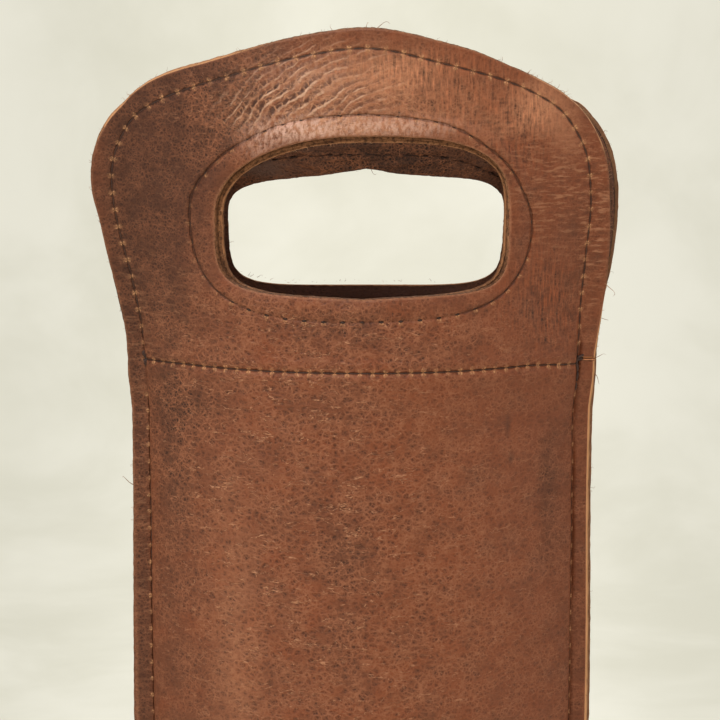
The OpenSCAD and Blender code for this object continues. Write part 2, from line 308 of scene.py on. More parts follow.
def rowsOf(side):
    # Every stitched row of one side: its flat line and its whole number of stitches
    turn = np.linspace(0, 2 * math.pi, 241) - math.pi / 2
    seam = carrier["seamHalf"] + carrier["thread"] / 3
    ends = carrier["seamHalf"] - carrier["thread"]
    low, high = carrier["pitch"] / 2, hemBottom - carrier["pitch"] / 2
    lines = {
        "edge": edgeRow(side),
        "opening": ringEdge(heading(turn)),
        "cross": np.array([(-ends, seamHeight), (0, seamHeight), (ends - 18, seamHeight),
                           (ends - 0.6 * seamIn[side], seamHeight - 0.6 * seamIn[side])]),
        "left_side": np.array([(-seam, low), (-seam, high)]),
        "right_side": np.array([(seam - seamIn[side], low), (seam - seamIn[side], high)]),
        "base": np.array([(carrier["pitch"] - carrier["seamHalf"], carrier["rim"] / 2),
                          (carrier["seamHalf"] - carrier["pitch"], carrier["rim"] / 2)]),
    }
    pitches = {"cross": carrier["crossPitch"], "opening": carrier["ringPitch"]}
    return {name: (line, round(lengthOf(line) / pitches.get(name, carrier["pitch"])))
            for name, line in lines.items()}


rows = {side: rowsOf(side) for side in (front, rear)}


def nearest(points, line):
    # Distance along a line to the place nearest to each point, and distance from it
    best = np.full(len(points), np.inf)
    along = np.zeros(len(points))
    run = runOf(line)
    for a, b, start in zip(line[:-1], line[1:], run):
        step = b - a
        length = np.linalg.norm(step)
        if length < 1e-9:
            continue
        t = np.clip((points - a) @ step / length ** 2, 0, 1)
        away = np.linalg.norm(points - a - t[:, None] * step, axis=1)
        closer = away < best
        best[closer], along[closer] = away[closer], start + t[closer] * length
    return along, best


def softNoise(x, y, size, seed):
    # Smooth random field of about -1 to 1, with humps of the given size
    table = np.random.RandomState(seed).rand(64, 64) * 2 - 1
    u, v = np.asarray(x) / size + 900, np.asarray(y) / size + 900
    i, j = np.floor(u).astype(int), np.floor(v).astype(int)
    fu, fv = ease(u - i), ease(v - j)
    at = lambda a, b: table[a % 64, b % 64]
    low = mix(at(i, j), at(i + 1, j), fu)
    high = mix(at(i, j + 1), at(i + 1, j + 1), fu)
    return mix(low, high, fv)


def near(away, width):
    # 1 on a line, falling softly to 0 at about the given width from it
    return np.exp(-(away / width) ** 2)


def patch(s, h, place, size):
    # 1 at a place on the flat leather, falling softly to 0 at about its size
    return np.exp(-((s - place[0]) / size[0]) ** 2 - ((h - place[1]) / size[1]) ** 2)


# How far the grain face stands out from the plain bent sheet, in millimetres
relief = {
    "grooveDepth": 0.34, "grooveWidth": 0.5, "stitchPull": 0.12,
    "openingGroove": 0.6, "openingWidth": 0.5, "openingRoll": 0.5,
    "crossGroove": 0.45, "crossWidth": 0.55, "crossSwell": 0.35,
    "waveHeight": 0.4, "waveSize": 26, "smallWaveHeight": 0.14, "smallWaveSize": 6,
    "fanHeight": 0.3, "fanSpacing": 2.5, "fanSlant": 34, "fanPatches": [
        ((-17, 363), (13, 8), 1.0), ((-2, 362), (11, 8), 0.5), ((-28, 358), (9, 6), 0.8),
        ((-10, 374), (14, 4), 0.4)],
    "foldHeight": 0.9, "foldFrom": 50, "foldTo": 64, "foldEdge": 66.9, "foldDrop": 1.7, "foldOther": 0.35,
    "foldLow": (30, 60), "foldTop": (299, 14), "swellAway": 2.2, "swellWidth": 1.5, "pullWidth": 2.2,
    "fanMiddle": (-14, 362), "fanBow": 0.0075, "creaseDepth": 0.22, "creaseWidth": 0.5,
}
# Thin creases in the front's grain: two ends, a bow and a strength, flat places in millimetres
creases = [
    ((42.6, 271), (45.5, 251), 0.6, 0.9), ((37.2, 364.2), (43, 348), -0.8, 0.9),
    ((43.3, 348), (44, 341), 0.2, 0.8), ((30, 363), (39, 351), 0.6, 0.6),
    ((24, 367), (34, 357), -0.5, 0.5), ((46, 356), (47, 347), 0.3, 0.4),
    ((46.6, 308.4), (51.8, 303.3), 0.2, 0.7), ((55.5, 307.3), (55.6, 297.2), 1.5, 0.7),
    ((59.4, 303.7), (64.5, 295), -0.4, 0.8), ((49, 300.8), (51, 292.9), -0.6, 0.6),
    ((53, 298.3), (56.4, 287.5), 0.5, 0.7), ((58, 300.8), (60, 289.4), -0.4, 0.7),
    ((48, 293), (48.5, 286), 0.3, 0.4), ((31, 361), (39, 349.5), 0.5, 0.5),
    ((36, 358), (41, 347), -0.3, 0.5), ((26, 364), (30, 357), 0.3, 0.4), ((47, 354), (50, 345), 0.3, 0.4),
    ((69.9, 276.2), (73.4, 276), 0.1, 1.0), ((-71.8, 292), (-69.6, 291), 0.1, 0.6),
    ((-73.8, 312), (-69.5, 311), 0.2, 0.4), ((-73.5, 322), (-69.6, 320.6), -0.2, 0.4),
]


def bowed(a, b, bow):
    a, b = np.array(a, float), np.array(b, float)
    t = np.linspace(0, 1, 9)[:, None]
    across = np.array([b[1] - a[1], a[0] - b[0]]) / np.linalg.norm(b - a)
    return a + (b - a) * t + across * bow * 4 * t * (1 - t)


def stitchWave(along, line, count):
    # 1 at the needle holes and 0 halfway between them
    return 0.5 + 0.5 * np.cos(2 * math.pi * along / lengthOf(line) * count)


def fanAt(points):
    # Ridges where carrying has creased the top of the front head: their count across them, the
    # place along them, and how strong they are
    r = relief
    s, h = points.T
    slant = math.radians(r["fanSlant"])
    aside, up = s - r["fanMiddle"][0], h - r["fanMiddle"][1]
    across = up * math.cos(slant) - aside * math.sin(slant)
    along = up * math.sin(slant) + aside * math.cos(slant)
    across = across + r["fanBow"] * along * along
    across = across + softNoise(s, h, 9, 21) * 1.3 + softNoise(s, h, 4, 22) * 0.45
    mask = np.clip(sum(amount * patch(s, h, place, size) for place, size, amount in r["fanPatches"]), 0, 1)
    return across / r["fanSpacing"], along, mask * (0.8 + 0.2 * softNoise(s, h, 4, 24))


def creaseAt(points, width):
    # Strength of the thin creases of the front at each flat place
    strength = np.zeros(len(points))
    for a, b, bow, amount in creases:
        line = bowed(a, b, bow)
        along, away = nearest(points, line)
        fade = np.sin(math.pi * np.clip(along / lengthOf(line), 0.02, 0.98)) ** 0.6
        strength = np.maximum(strength, amount * fade * near(away, width))
    return strength


# Where the opening's lower rim lies flat, and over how far that fades out
lowerRim = {"left": -40, "leftFade": 8, "right": 34, "rightFade": 10, "below": 12, "belowFade": 6}


def underOpening(s, h):
    # 1 below the opening, 0 beside and above it
    r = lowerRim
    across = ease((s - r["left"]) / r["leftFade"]) * ease((r["right"] - s) / r["rightFade"])
    return across * ease((openMiddle - r["below"] - h) / r["belowFade"])


def reliefAt(side, s, h):
    points = np.stack([np.ravel(s), np.ravel(h)], -1)
    s, h = points.T
    r = relief
    out = r["waveHeight"] * softNoise(s, h, r["waveSize"], 3 + side)
    out = out + r["smallWaveHeight"] * softNoise(s, h, r["smallWaveSize"], 5 + side)
    out = out * ease((panelHalf - np.abs(s)) / 6) * ease(h / 12)
    for name, (line, count) in rows[side].items():
        along, away = nearest(points, line)
        holes = stitchWave(along, line, count)
        if name == "opening":
            depth = r["openingGroove"] * mix(0.35, 1, 1 - underOpening(s, h))
            out -= depth * near(away, r["openingWidth"]) * mix(0.8, 1, holes)
        elif name == "cross":
            out -= r["crossGroove"] * near(away, r["crossWidth"]) * mix(0.8, 1, holes)
            swell = near(away - r["swellAway"], r["swellWidth"]) * ease((66 - np.abs(s)) / 5)
            out += r["crossSwell"] * swell * mix(1, 0.7, holes)
        else:
            out -= r["grooveDepth"] * mix(1, 0.5, holes) * near(away, r["grooveWidth"])
            out -= r["stitchPull"] * holes * near(away, r["pullWidth"])
    fromCut = nearest(points, cutLine(side, True))[1]
    width = carrier["ringSide"] * 0.8
    out += r["openingRoll"] * np.sin(math.pi * np.clip(fromCut / width, 0, 1)) ** 0.8
    # The pouch stands proud along its seams, most at the front's right, and folds down to the flange
    (low, lowFade), (top, topFade) = r["foldLow"], r["foldTop"]
    proud = ease((h - low) / lowFade) * ease((top - h) / topFade)
    rise = ease((np.abs(s) - r["foldFrom"]) / (r["foldTo"] - r["foldFrom"]))
    edge = r["foldEdge"] - 0.8 * seamIn[side] * (s > 0)
    drop = 1 - ease((np.abs(s) - edge) / r["foldDrop"])
    out += r["foldHeight"] * proud * rise * drop * np.where((s > 0) == (side == front), 1, r["foldOther"])
    if side == front:
        phase, _, mask = fanAt(points)
        skewed = phase + 0.1 * np.sin(2 * math.pi * phase)
        out += r["fanHeight"] * mask * (0.5 + 0.5 * np.cos(2 * math.pi * skewed))
        out -= r["creaseDepth"] * creaseAt(points, r["creaseWidth"])
    return out


def grainSkin(side, s, h, lift=0.0):
    # A place on the grain face, with its relief, in millimetres
    s, h = np.asarray(s, float), np.asarray(h, float)
    return skin(side, s, h, carrier["panel"] + reliefAt(side, s, h).reshape(s.shape) + lift)


# A field is one output of a node, and takes part in sums as a number does
class Field:
    def __init__(self, nodes, socket):
        self.nodes, self.socket = nodes, socket

    def maths(self, operation, *others):
        return self.nodes.put("ShaderNodeMath", dict(enumerate((self, *others))), operation=operation)

    def __add__(self, other):
        return self.maths("ADD", other)

    def __mul__(self, other):
        return self.maths("MULTIPLY", other)

    def __sub__(self, other):
        return self.maths("SUBTRACT", other)

    def __neg__(self):
        return self * -1.0

    def __rsub__(self, other):
        return -self + other

    __radd__, __rmul__ = __add__, __mul__

    def fade(self, low, high, start=0.0, end=1.0, shape="SMOOTHSTEP"):
        inputs = {0: self, 1: low, 2: high, 3: start, 4: end}
        return self.nodes.put("ShaderNodeMapRange", inputs, interpolation_type=shape)


# The nodes of one material or group: each helper adds what it names and gives its field
class Nodes:
    def __init__(self, tree, owner=None):
        self.tree, self.owner = tree, owner

    def put(self, kind, inputs=None, output=0, **settings):
        node = self.tree.nodes.new(kind)
        for name, value in settings.items():
            setattr(node, name, value)
        for key, value in (inputs or {}).items():
            if isinstance(value, Field):
                self.tree.links.new(value.socket, node.inputs[key])
            else:
                node.inputs[key].default_value = value
        return Field(self, node.outputs[output]) if node.outputs else None

    def mix(self, factor, a, b):
        return self.put("ShaderNodeMix", {0: factor, 6: a, 7: b}, 2, data_type="RGBA")

    def attribute(self, name):
        return self.put("ShaderNodeAttribute", output=2, attribute_name=name)

    def noise(self, where, scale, detail=3.0, rough=0.55, distortion=0.0):
        return self.put("ShaderNodeTexNoise", {"Vector": where, "Scale": scale, "Detail": detail,
                                               "Roughness": rough, "Distortion": distortion})

    def cells(self, where, scale, feature="DISTANCE_TO_EDGE", randomness=1.0):
        inputs = {"Vector": where, "Scale": scale, "Randomness": randomness}
        return self.put("ShaderNodeTexVoronoi", inputs, "Distance", feature=feature)

    def combine(self, x, y=0.0, z=0.0):
        return self.put("ShaderNodeCombineXYZ", {0: x, 1: y, 2: z})

    def scaled(self, vector, amount):
        return self.put("ShaderNodeVectorMath", {0: vector, "Scale": amount}, operation="SCALE")

    def stretched(self, where, scale, turn=0.0):
        inputs = {"Vector": where, "Scale": (*scale, 1.0), "Rotation": (0, 0, math.radians(turn))}
        return self.put("ShaderNodeMapping", inputs)

    def warped(self, where, scale, amount):
        # Coordinates pushed about by noise, so that no row of cells shows
        push = self.put("ShaderNodeTexNoise", {"Vector": where, "Scale": scale, "Detail": 2.0}, 1)
        centred = self.put("ShaderNodeVectorMath", {0: push, 1: (0.5, 0.5, 0.5)}, operation="SUBTRACT")
        moved = self.scaled(centred, amount)
        return self.put("ShaderNodeVectorMath", {0: where, 1: moved}, operation="ADD")

    def flatPlace(self):
        # Flat place on the leather in millimetres, from the piece's UV map
        return self.scaled(self.put("ShaderNodeUVMap", uv_map="flat"), uvSize)

    def objectPlace(self):
        return self.put("ShaderNodeTexCoord", output="Object")

    def named(self, name):
        return self.put("GeometryNodeInputNamedAttribute", {0: name}, data_type="FLOAT_VECTOR")

    def tube(self, curve, sides, width):
        profile = self.put("GeometryNodeCurvePrimitiveCircle", {"Resolution": sides, "Radius": 1.0})
        return self.put("GeometryNodeCurveToMesh", {0: curve, 1: profile, 2: width, 3: True})

    def finish(self, base, roughness, height=None, strength=0.4, specular=0.5, sheen=0.0, step=mm):
        # The end of a material: its colour, its gloss and the height of its surface
        inputs = {"Base Color": base, "Roughness": roughness, "Specular IOR Level": specular,
                  "Sheen Weight": sheen}
        if height is not None:
            bump = {"Strength": strength, "Distance": step, "Height": height}
            inputs["Normal"] = self.put("ShaderNodeBump", bump)
        self.put("ShaderNodeOutputMaterial", {"Surface": self.put("ShaderNodeBsdfPrincipled", inputs)})
        return self.owner


def newMaterial(name):
    material = bpy.data.materials.new(name)
    material.use_nodes = True
    material.node_tree.nodes.clear()
    return Nodes(material.node_tree, material)


def newObject(name, data):
    made = bpy.data.objects.new(name, data)
    bpy.context.scene.collection.objects.link(made)
    return made


def newPiece(name, points, faces):
    mesh = bpy.data.meshes.new(name)
    mesh.from_pydata(points, [], faces)
    mesh.polygons.foreach_set("use_smooth", [True] * len(faces))
    return newObject(name, mesh)


def colour(red, green, blue):
    # A colour written as it looks on screen, 0 to 255
    linear = [c / 255 / 12.92 if c / 255 <= 0.04045 else ((c / 255 + 0.055) / 1.055) ** 2.4
              for c in (red, green, blue)]
    return (*linear, 1.0)


# Colours as seen in soft light, then sizes in millimetres
# Some of these colours are painted light and shade: the crest's bright colour, the valley's dark one and
# the rim's pale flakes are painted highlight and shade; the furrow and prick colours are painted shade in
# creases, slots and needle holes; the hole colour, of the pale stars, is partly painted highlight
grainFinish = {
    "mid": (112, 60, 35), "dark": (76, 42, 26), "warm": (126, 64, 34), "pale": (180, 116, 82),
    "crease": (210, 146, 106), "net": (166, 103, 70), "ridgeHighlight": (240, 190, 156), "valleyShade": (66, 36, 24),
    "hole": (232, 168, 116), "shadedFurrow": (46, 25, 16), "prick": (22, 12, 9), "rimHighlight": (232, 182, 158),
    "roughness": 0.5, "pebble": 1.8, "small": 0.9, "bump": 1.0,
}
liningFinish = {
    **grainFinish, "mid": (84, 52, 39), "dark": (50, 30, 23), "warm": (90, 54, 39), "pale": (118, 84, 72),
    "crease": (120, 82, 64), "hole": (128, 88, 66), "shadedFurrow": (30, 17, 13), "pebble": 1.2,
}


def grainMaterial(name, finish):
    # Waxed pull-up leather: dark pebbles in a paler net, bright creases and worn places, with painted
    # highlight and shade on the creased top, along the opening's rim and round the stitches
    n = newMaterial(name)
    shade = {key: colour(*value) for key, value in finish.items() if isinstance(value, tuple)}
    place = n.flatPlace()
    tone, creased, wrinkled, shadedFurrow = map(n.attribute, ("tone", "creased", "wrinkled", "shadedFurrow"))
    fine = n.noise(place, 1.6, 3.0, 0.6)
    blotch = n.noise(place, 0.3, 3.0, 0.6) - 0.5
    # Base tones, a little warmer to the right
    cloud = n.noise(place, 0.085, 4.0, 0.6) + n.put("ShaderNodeSeparateXYZ", {0: place}) * 0.0016
    base = n.mix(cloud.fade(0.36, 0.64), shade["mid"], shade["warm"])
    darker = (blotch * 0.5 - tone).fade(0.0, 1.0)
    base = n.mix(darker, base, shade["dark"])
    base = n.mix((tone + blotch * 0.4).fade(0.0, 1.1), base, shade["pale"])
    # Pebbles of two sizes, each with a paler net between them
    big = n.cells(n.warped(n.stretched(place, (0.8, 1.0), 8), 0.7, 0.9), 1 / finish["pebble"])
    small = n.cells(n.warped(place, 1.3, 0.5), 1 / finish["small"])
    varied = n.noise(place, 0.7, 2.0).fade(0.35, 0.62, 0.15, 1.0)
    bigLine = big.fade(0.0, 0.15, 1.0, 0.0) * varied
    smallLine = small.fade(0.0, 0.28, 1.0, 0.0)
    core = big.fade(0.08, 0.34) * small.fade(0.0, 0.3, 0.6, 1.0)
    spread = creased.fade(0.0, 0.8, 0.3, 1.0)
    grain = fine * 1.1 - core * 0.62 - 0.25
    streak = n.noise(n.stretched(place, (1.0, 0.14), 6), 1.35, 3.0, 0.65) - 0.5
    base = n.scaled(base, grain * spread + streak * n.attribute("streaked") * 4.6 + 1.0)
    patchy = n.noise(place, 0.14, 3.0, 0.6).fade(0.36, 0.6, 0.35, 1.0)
    net = bigLine * spread * 0.75 + smallLine * creased.fade(0.0, 0.5, 0.45, 1.0) * 0.5
    netShade = n.mix(tone.fade(0.1, 0.9), shade["net"], shade["crease"])
    base = n.mix(net.maths("MINIMUM", 1.0) * patchy, base, netShade)
    # Horizontal wrinkles where the head and flanges are drawn in along their rows, paler on their tops and
    # darkened in their hollows, which is painted shade
    across = n.noise(n.warped(n.stretched(place, (0.22, 1.0)), 0.5, 0.5), 0.85, 3.0, 0.6)
    wrinkle = across.fade(0.5, 0.66) * wrinkled
    base = n.mix(across.fade(0.34, 0.48, 1.0, 0.0) * wrinkled * 0.35, base, shade["dark"])
    base = n.mix(wrinkle * 0.5, base, shade["crease"])
    # Fine bright lines where the skin has been flexed, along the pebbles' borders
    flow = n.noise(n.warped(n.stretched(place, (0.3, 1.0), 14), 1.0, 1.1), 0.5, 2.0, 0.5)
    stray = n.noise(n.stretched(place, (0.45, 1.0)), 0.3, 2.0).fade(0.46, 0.58)
    line = (flow - 0.5).maths("ABSOLUTE").fade(0.003, 0.015, 1.0, 0.0) * stray * creased
    base = n.mix(line * 0.85, base, shade["crease"])
    # Ridges of the creased top: a thin crest and the slope below it painted light, the valley above the
    # crest painted shade, and pale rungs across
    fan = n.attribute("fan")
    shaken = (n.noise(place, 0.5, 2.0) - 0.5) * 0.5
    phase = n.attribute("fanAcross") + shaken
    along = n.attribute("fanAlong") + shaken * 2.0
    turn = phase.maths("FRACT")
    broken = n.noise(place, 0.22, 2.0).fade(0.42, 0.58, 0.15, 1.0)
    crest = phase.maths("PINGPONG", 0.5).fade(0.04, 0.17, 1.0, 0.0) * broken
    valleyShade = turn.fade(0.04, 0.12) * turn.fade(0.3, 0.7, 1.0, 0.0)
    rung = n.cells(n.combine(along * 0.52, phase * 1.7), 1.0, randomness=0.9).fade(0.0, 0.2, 1.0, 0.0)
    for amount, key in ((valleyShade * 0.95, "valleyShade"), (turn.fade(0.45, 0.95) * 0.5, "pale"),
                        (rung * varied * 0.95, "crease"), (crest * 0.9, "ridgeHighlight")):
        base = n.mix(amount * fan, base, shade[key])
    # Painted shade along the thin creases of the front
    base = n.mix(shadedFurrow * 0.75, base, shade["shadedFurrow"])
    # Needle holes: a pale star of pulled skin at each, partly painted highlight; painted shade in the hole
    # itself and in the slot along the thread between them
    away, toHole = n.attribute("rowAway"), n.attribute("rowAlong").maths("PINGPONG", 0.5)
    run = toHole * n.attribute("pitch")
    jitter = n.noise(place, 1.1, 2.0) - 0.5
    length = lambda x, y: (x * x + y * y).maths("SQRT")
    rays = (away.maths("ARCTAN2", run) * 5.0 + jitter * 11.0 + 2.6).maths("COSINE").fade(-0.3, 0.9)
    star = (length(run * 1.8, away) + jitter * 1.6).fade(0.3, 1.7, 1.0, 0.0) * (rays * 0.8 + 0.3)
    unequal = n.noise(place, 0.3, 1.0).fade(0.3, 0.6, 0.45, 1.0)
    star = (star * n.attribute("rowKind") * unequal * 1.2).maths("MINIMUM", 1.0)
    base = n.mix(star * 0.92, base, shade["hole"])
    lens = away.maths("DIVIDE", toHole + 0.3).fade(0.25, 0.75, 1.0, 0.0)
    dark = lens * toHole.fade(0.0, 0.1, 0.5, 1.0) * n.attribute("slot")
    base = n.mix(dark * 0.72, base, shade["shadedFurrow"])
    prick = length(run * 1.25, away * 2.4).fade(0.6, 1.0, 1.0, 0.0) * n.attribute("mark")
    base = n.mix(prick * 0.95, base, shade["prick"])
    # Scratches across a cut edge, and edges rubbed pale by handling
    beside = n.combine(n.attribute("cutAlong"), n.attribute("cutAway") * 0.12)
    scratch = n.noise(beside, 1.6, 2.0).fade(0.54, 0.62) * n.attribute("scratched")
    base = n.mix(scratch * 0.6, base, shade["crease"])
    worn = n.noise(place, 1.1, 4.0, 0.75).fade(0.38, 0.62, 0.25, 1.0) * n.attribute("rubbed")
    base = n.mix(worn, base, shade["crease"])
    # Painted highlight in small pale flakes along the rim of the front opening
    flakes = n.noise(n.warped(n.stretched(place, (1.0, 0.45), -30), 0.8, 0.5), 0.9, 3.0, 0.7)
    base = n.mix(flakes.fade(0.38, 0.62, 0.1, 1.0) * n.attribute("rimHighlight"), base, shade["rimHighlight"])
    low = finish["roughness"] - 0.06
    rough = (fine + blotch * 0.8).fade(0.2, 0.9, low, low + 0.2) + darker * 0.12
    # Height of the grain in millimetres
    height = (core * -0.1 + bigLine * 0.06 + smallLine * 0.04 + fine * 0.1) * spread
    height = height + (line + wrinkle) * 0.12 + star * 0.16 - dark * 0.25 - prick * 0.4
    return n.finish(base, rough, height - shadedFurrow * 0.15 + crest * fan * 0.1, finish["bump"], 0.35)


def edgeMaterial(name, pale, mid, dark):
    # A cut edge: fibres run along it between a dyed grain line and the paler core
    n = newMaterial(name)
    place, depth, freshCutAndShade = n.flatPlace(), n.attribute("depth"), n.attribute("freshCutAndShade")
    fibres = n.noise(n.stretched(place, (0.12, 1.5)), 1.0, 4.0, 0.7)
    lumps = n.noise(place, 0.9, 3.0, 0.7)
    core = n.mix((fibres + freshCutAndShade * 0.35).fade(0.36, 0.7), colour(*mid), colour(*pale))
    core = n.mix((lumps - freshCutAndShade * 0.2).fade(0.42, 0.66, 0.0, 0.85), core, colour(*dark))
    skinLine = depth.fade(0.3, 0.55, 0.0, 0.35).maths("MAXIMUM", depth.fade(0.8, 1.0))
    # The edge's brightness follows this value: raised on fresh cuts, partly painted light on edges that
    # face away from the lamps, and lowered where it is below 0, which is painted shade in the gap between
    # the heads and a darker cut within the lower opening
    level = freshCutAndShade.fade(-1.5, 1.0, 0.5, 1.35, "LINEAR")
    base = n.scaled(n.mix(skinLine, core, colour(*dark)), level)
    return n.finish(base, 0.8, fibres * 0.35 + lumps * 0.3, 0.5, 0.25)


def fleshMaterial(name, pale, dark):
    # The flesh side: brushed, matt and fibrous
    n = newMaterial(name)
    place = n.flatPlace()
    nap = n.noise(n.stretched(place, (1.6, 0.7), 25), 1.4, 5.0, 0.7)
    blend = (nap * 0.6 + n.noise(place, 0.08, 3.0) * 0.5).fade(0.35, 0.8)
    return n.finish(n.mix(blend, colour(*dark), colour(*pale)), 0.9, nap, specular=0.2, sheen=0.2)


def threadMaterial():
    # Dark waxed thread with the twist of its strands
    n = newMaterial("waxed_thread")
    place = n.objectPlace()
    fine = n.noise(place, 2600.0, 2.0)
    base = n.mix(fine.fade(0.35, 0.7), colour(50, 28, 19), colour(84, 50, 34))
    base = n.mix(n.noise(place, 120.0, 2.0).fade(0.55, 0.75, 0.0, 0.5), base, colour(58, 36, 28))
    return n.finish(base, 0.55, fine, step=0.2 * mm)


def fibreMaterial():
    n = newMaterial("loose_fibre")
    mottle = n.noise(n.objectPlace(), 90.0, 1.0).fade(0.4, 0.6)
    return n.finish(n.mix(mottle, colour(150, 96, 64), colour(206, 158, 118)), 0.7)


leatherGrain = grainMaterial("leather_grain", grainFinish)
liningGrain = grainMaterial("lining_grain", liningFinish)
leatherEdge = edgeMaterial("leather_cut_edge", (206, 148, 104), (148, 98, 64), (76, 46, 31))
liningEdge = edgeMaterial("lining_cut_edge", (186, 128, 86), (116, 74, 46), (60, 36, 24))
leatherFlesh = fleshMaterial("leather_flesh", (176, 128, 92), (128, 84, 58))
thread = threadMaterial()
fibre = fibreMaterial()
print("materials made")


# Sheets: a flat mesh of patches, its two faces bent into space and joined by rounded cut edges

def gridPatch(columns):
    # Quads between columns of flat places, all of the same length
    points = np.array(columns)
    n, m = points.shape[:2]
    index = np.arange(n * m).reshape(n, m)
    quads = np.stack([index[:-1, :-1], index[1:, :-1], index[1:, 1:], index[:-1, 1:]], -1).reshape(-1, 4)
    return points.reshape(-1, 2), quads


def joinPatches(patches):
    # One flat mesh from patches whose shared borders have the same places, all faces up
    points = np.concatenate([p for p, _ in patches])
    starts = np.cumsum([0] + [len(p) for p, _ in patches])
    quads = np.concatenate([q + start for (_, q), start in zip(patches, starts)])
    _, first, back = np.unique(np.round(points, 4), axis=0, return_index=True, return_inverse=True)
    points, quads = points[first], back.reshape(-1)[quads]
    a, b, c, d = (points[quads[:, k]] for k in range(4))
    area = np.cross(c - a, d - b)
    quads[area < 0] = quads[area < 0][:, ::-1]
    return points, quads[np.abs(area) > 1e-9]


def bordersOf(quads):
    # Closed loops of the vertices along a flat mesh's border, mesh on their left
    edges = np.concatenate([quads[:, [k, (k + 1) % 4]] for k in range(4)])
    pairs = {(a, b) for a, b in edges.tolist()}
    following = {a: b for a, b in pairs if (b, a) not in pairs}
    loops = []
    while following:
        start, end = following.popitem()
        loop = [start]
        while end != start:
            loop.append(end)
            end = following.pop(end)
        loops.append(loop)
    return loops


rimWidth = 3.6
# Section of a cut edge: share of the thickness, share of the bevel left, own step in millimetres
edgeSection = [(0.1, 0.86, 0.02), (0.3, 0.5, 0.0), (0.52, 0.16, 0.06), (0.74, 0.0, 0.0), (0.92, 0.0, 0.07)]


outerFace, innerFace, cutFace = 0, 1, 2  # in the order of a sheet's materials


def sheetPiece(name, side, flat, quads, heights, attributes, materials, bevelAt, rim=None, ragged=0.12):
    # A leather sheet. heights(s, h) gives how far its two faces stand out, attributes its finish.
    # Its outer face looks cut for a short way from the line given as rim
    n = len(flat)
    loops = bordersOf(quads)
    shape = flat.copy()
    wallPlaces, wallDepths, faces, faceKinds, corner = [], [], [], [], []
    spare, thick = 2 * n, carrier["panel"]
    for loop in loops:
        line = flat[loop]
        around = np.roll(line, -1, axis=0) - np.roll(line, 1, axis=0)
        outward = np.stack([around[:, 1], -around[:, 0]], -1) / np.linalg.norm(around, axis=1)[:, None]
        run = runOf(np.concatenate([line, line[:1]]))
        at = run[:-1]
        rag = ragged * (softNoise(at, 0 * at, 1.7, 41 + side) + softNoise(at, 0 * at, 5.0, 43)) / 2
        bevel = bevelAt(line)
        shape[loop] = line - outward * bevel[:, None]
        rings = [list(loop)]
        for depth, left, step in edgeSection:
            fuzz = rag + ragged * softNoise(at, depth * 9 + 0 * at, 0.8, 47)
            wallPlaces.append(line - outward * (step + left * bevel + fuzz)[:, None])
            wallDepths.append(np.full(len(loop), depth))
            rings.append(list(range(spare, spare + len(loop))))
            spare += len(loop)
        rings.append([v + n for v in loop])
        depths = [0.0] + [depth for depth, _, _ in edgeSection] + [1.0]
        for upper, lower, a, b in zip(rings, rings[1:], depths, depths[1:]):
            for i in range(len(loop)):
                j = (i + 1) % len(loop)
                faces.append((upper[i], lower[i], lower[j], upper[j]))
                faceKinds.append(cutFace)
                here, there = run[i], run[i + 1]
                corner += [(here, a * thick), (here, b * thick), (there, b * thick), (there, a * thick)]
    high, low = heights(*shape.T)
    walls = np.concatenate(wallPlaces)
    wallHigh, wallLow = heights(*walls.T)
    depth = np.concatenate(wallDepths)
    points = np.concatenate([skin(side, *shape.T, high), skin(side, *shape.T, low),
                             skin(side, *walls.T, mix(wallHigh, wallLow, depth))])
    faces = [tuple(q) for q in quads.tolist()] + [tuple(q[::-1]) for q in (quads + n).tolist()] + faces
    faceKinds = [outerFace] * len(quads) + [innerFace] * len(quads) + faceKinds
    upperUv = flat[quads].reshape(-1, 2)
    if rim is not None:
        along, away = nearest(upperUv, rim)
        along, away = along.reshape(-1, 4), away.reshape(-1, 4)
        cutFaces = away.max(1) < rimWidth
        wrapped = (along.max(1) - along.min(1) > lengthOf(rim) / 2)[:, None] & (along < lengthOf(rim) / 2)
        along = along + wrapped * lengthOf(rim)
        upperUv.reshape(-1, 4, 2)[cutFaces] = np.stack([along, away], -1)[cutFaces]
        faceKinds[:len(quads)] = np.where(cutFaces, cutFace, outerFace).tolist()
    flatUv = np.concatenate([upperUv, flat[quads[:, ::-1]].reshape(-1, 2), np.array(corner)])
    if side == rear:  # seen from behind, the same flat faces turn the other way
        faces = [face[::-1] for face in faces]
        flatUv = flatUv.reshape(-1, 4, 2)[:, ::-1].reshape(-1, 2)
    piece = newPiece(name, (points * mm).tolist(), faces)
    mesh = piece.data
    mesh.polygons.foreach_set("material_index", faceKinds)
    for material in materials:
        mesh.materials.append(material)
    uv = mesh.uv_layers.new(name="flat")
    uv.data.foreach_set("uv", (flatUv / uvSize).ravel().astype(np.float32))
    everywhere = np.concatenate([flat, flat, walls])
    values = {**attributes(everywhere), "depth": np.concatenate([np.zeros(n), np.ones(n), depth])}
    for key, value in values.items():
        mesh.attributes.new(key, "FLOAT", "POINT").data.foreach_set("value", value.astype(np.float32))
    mesh.validate()
    return piece
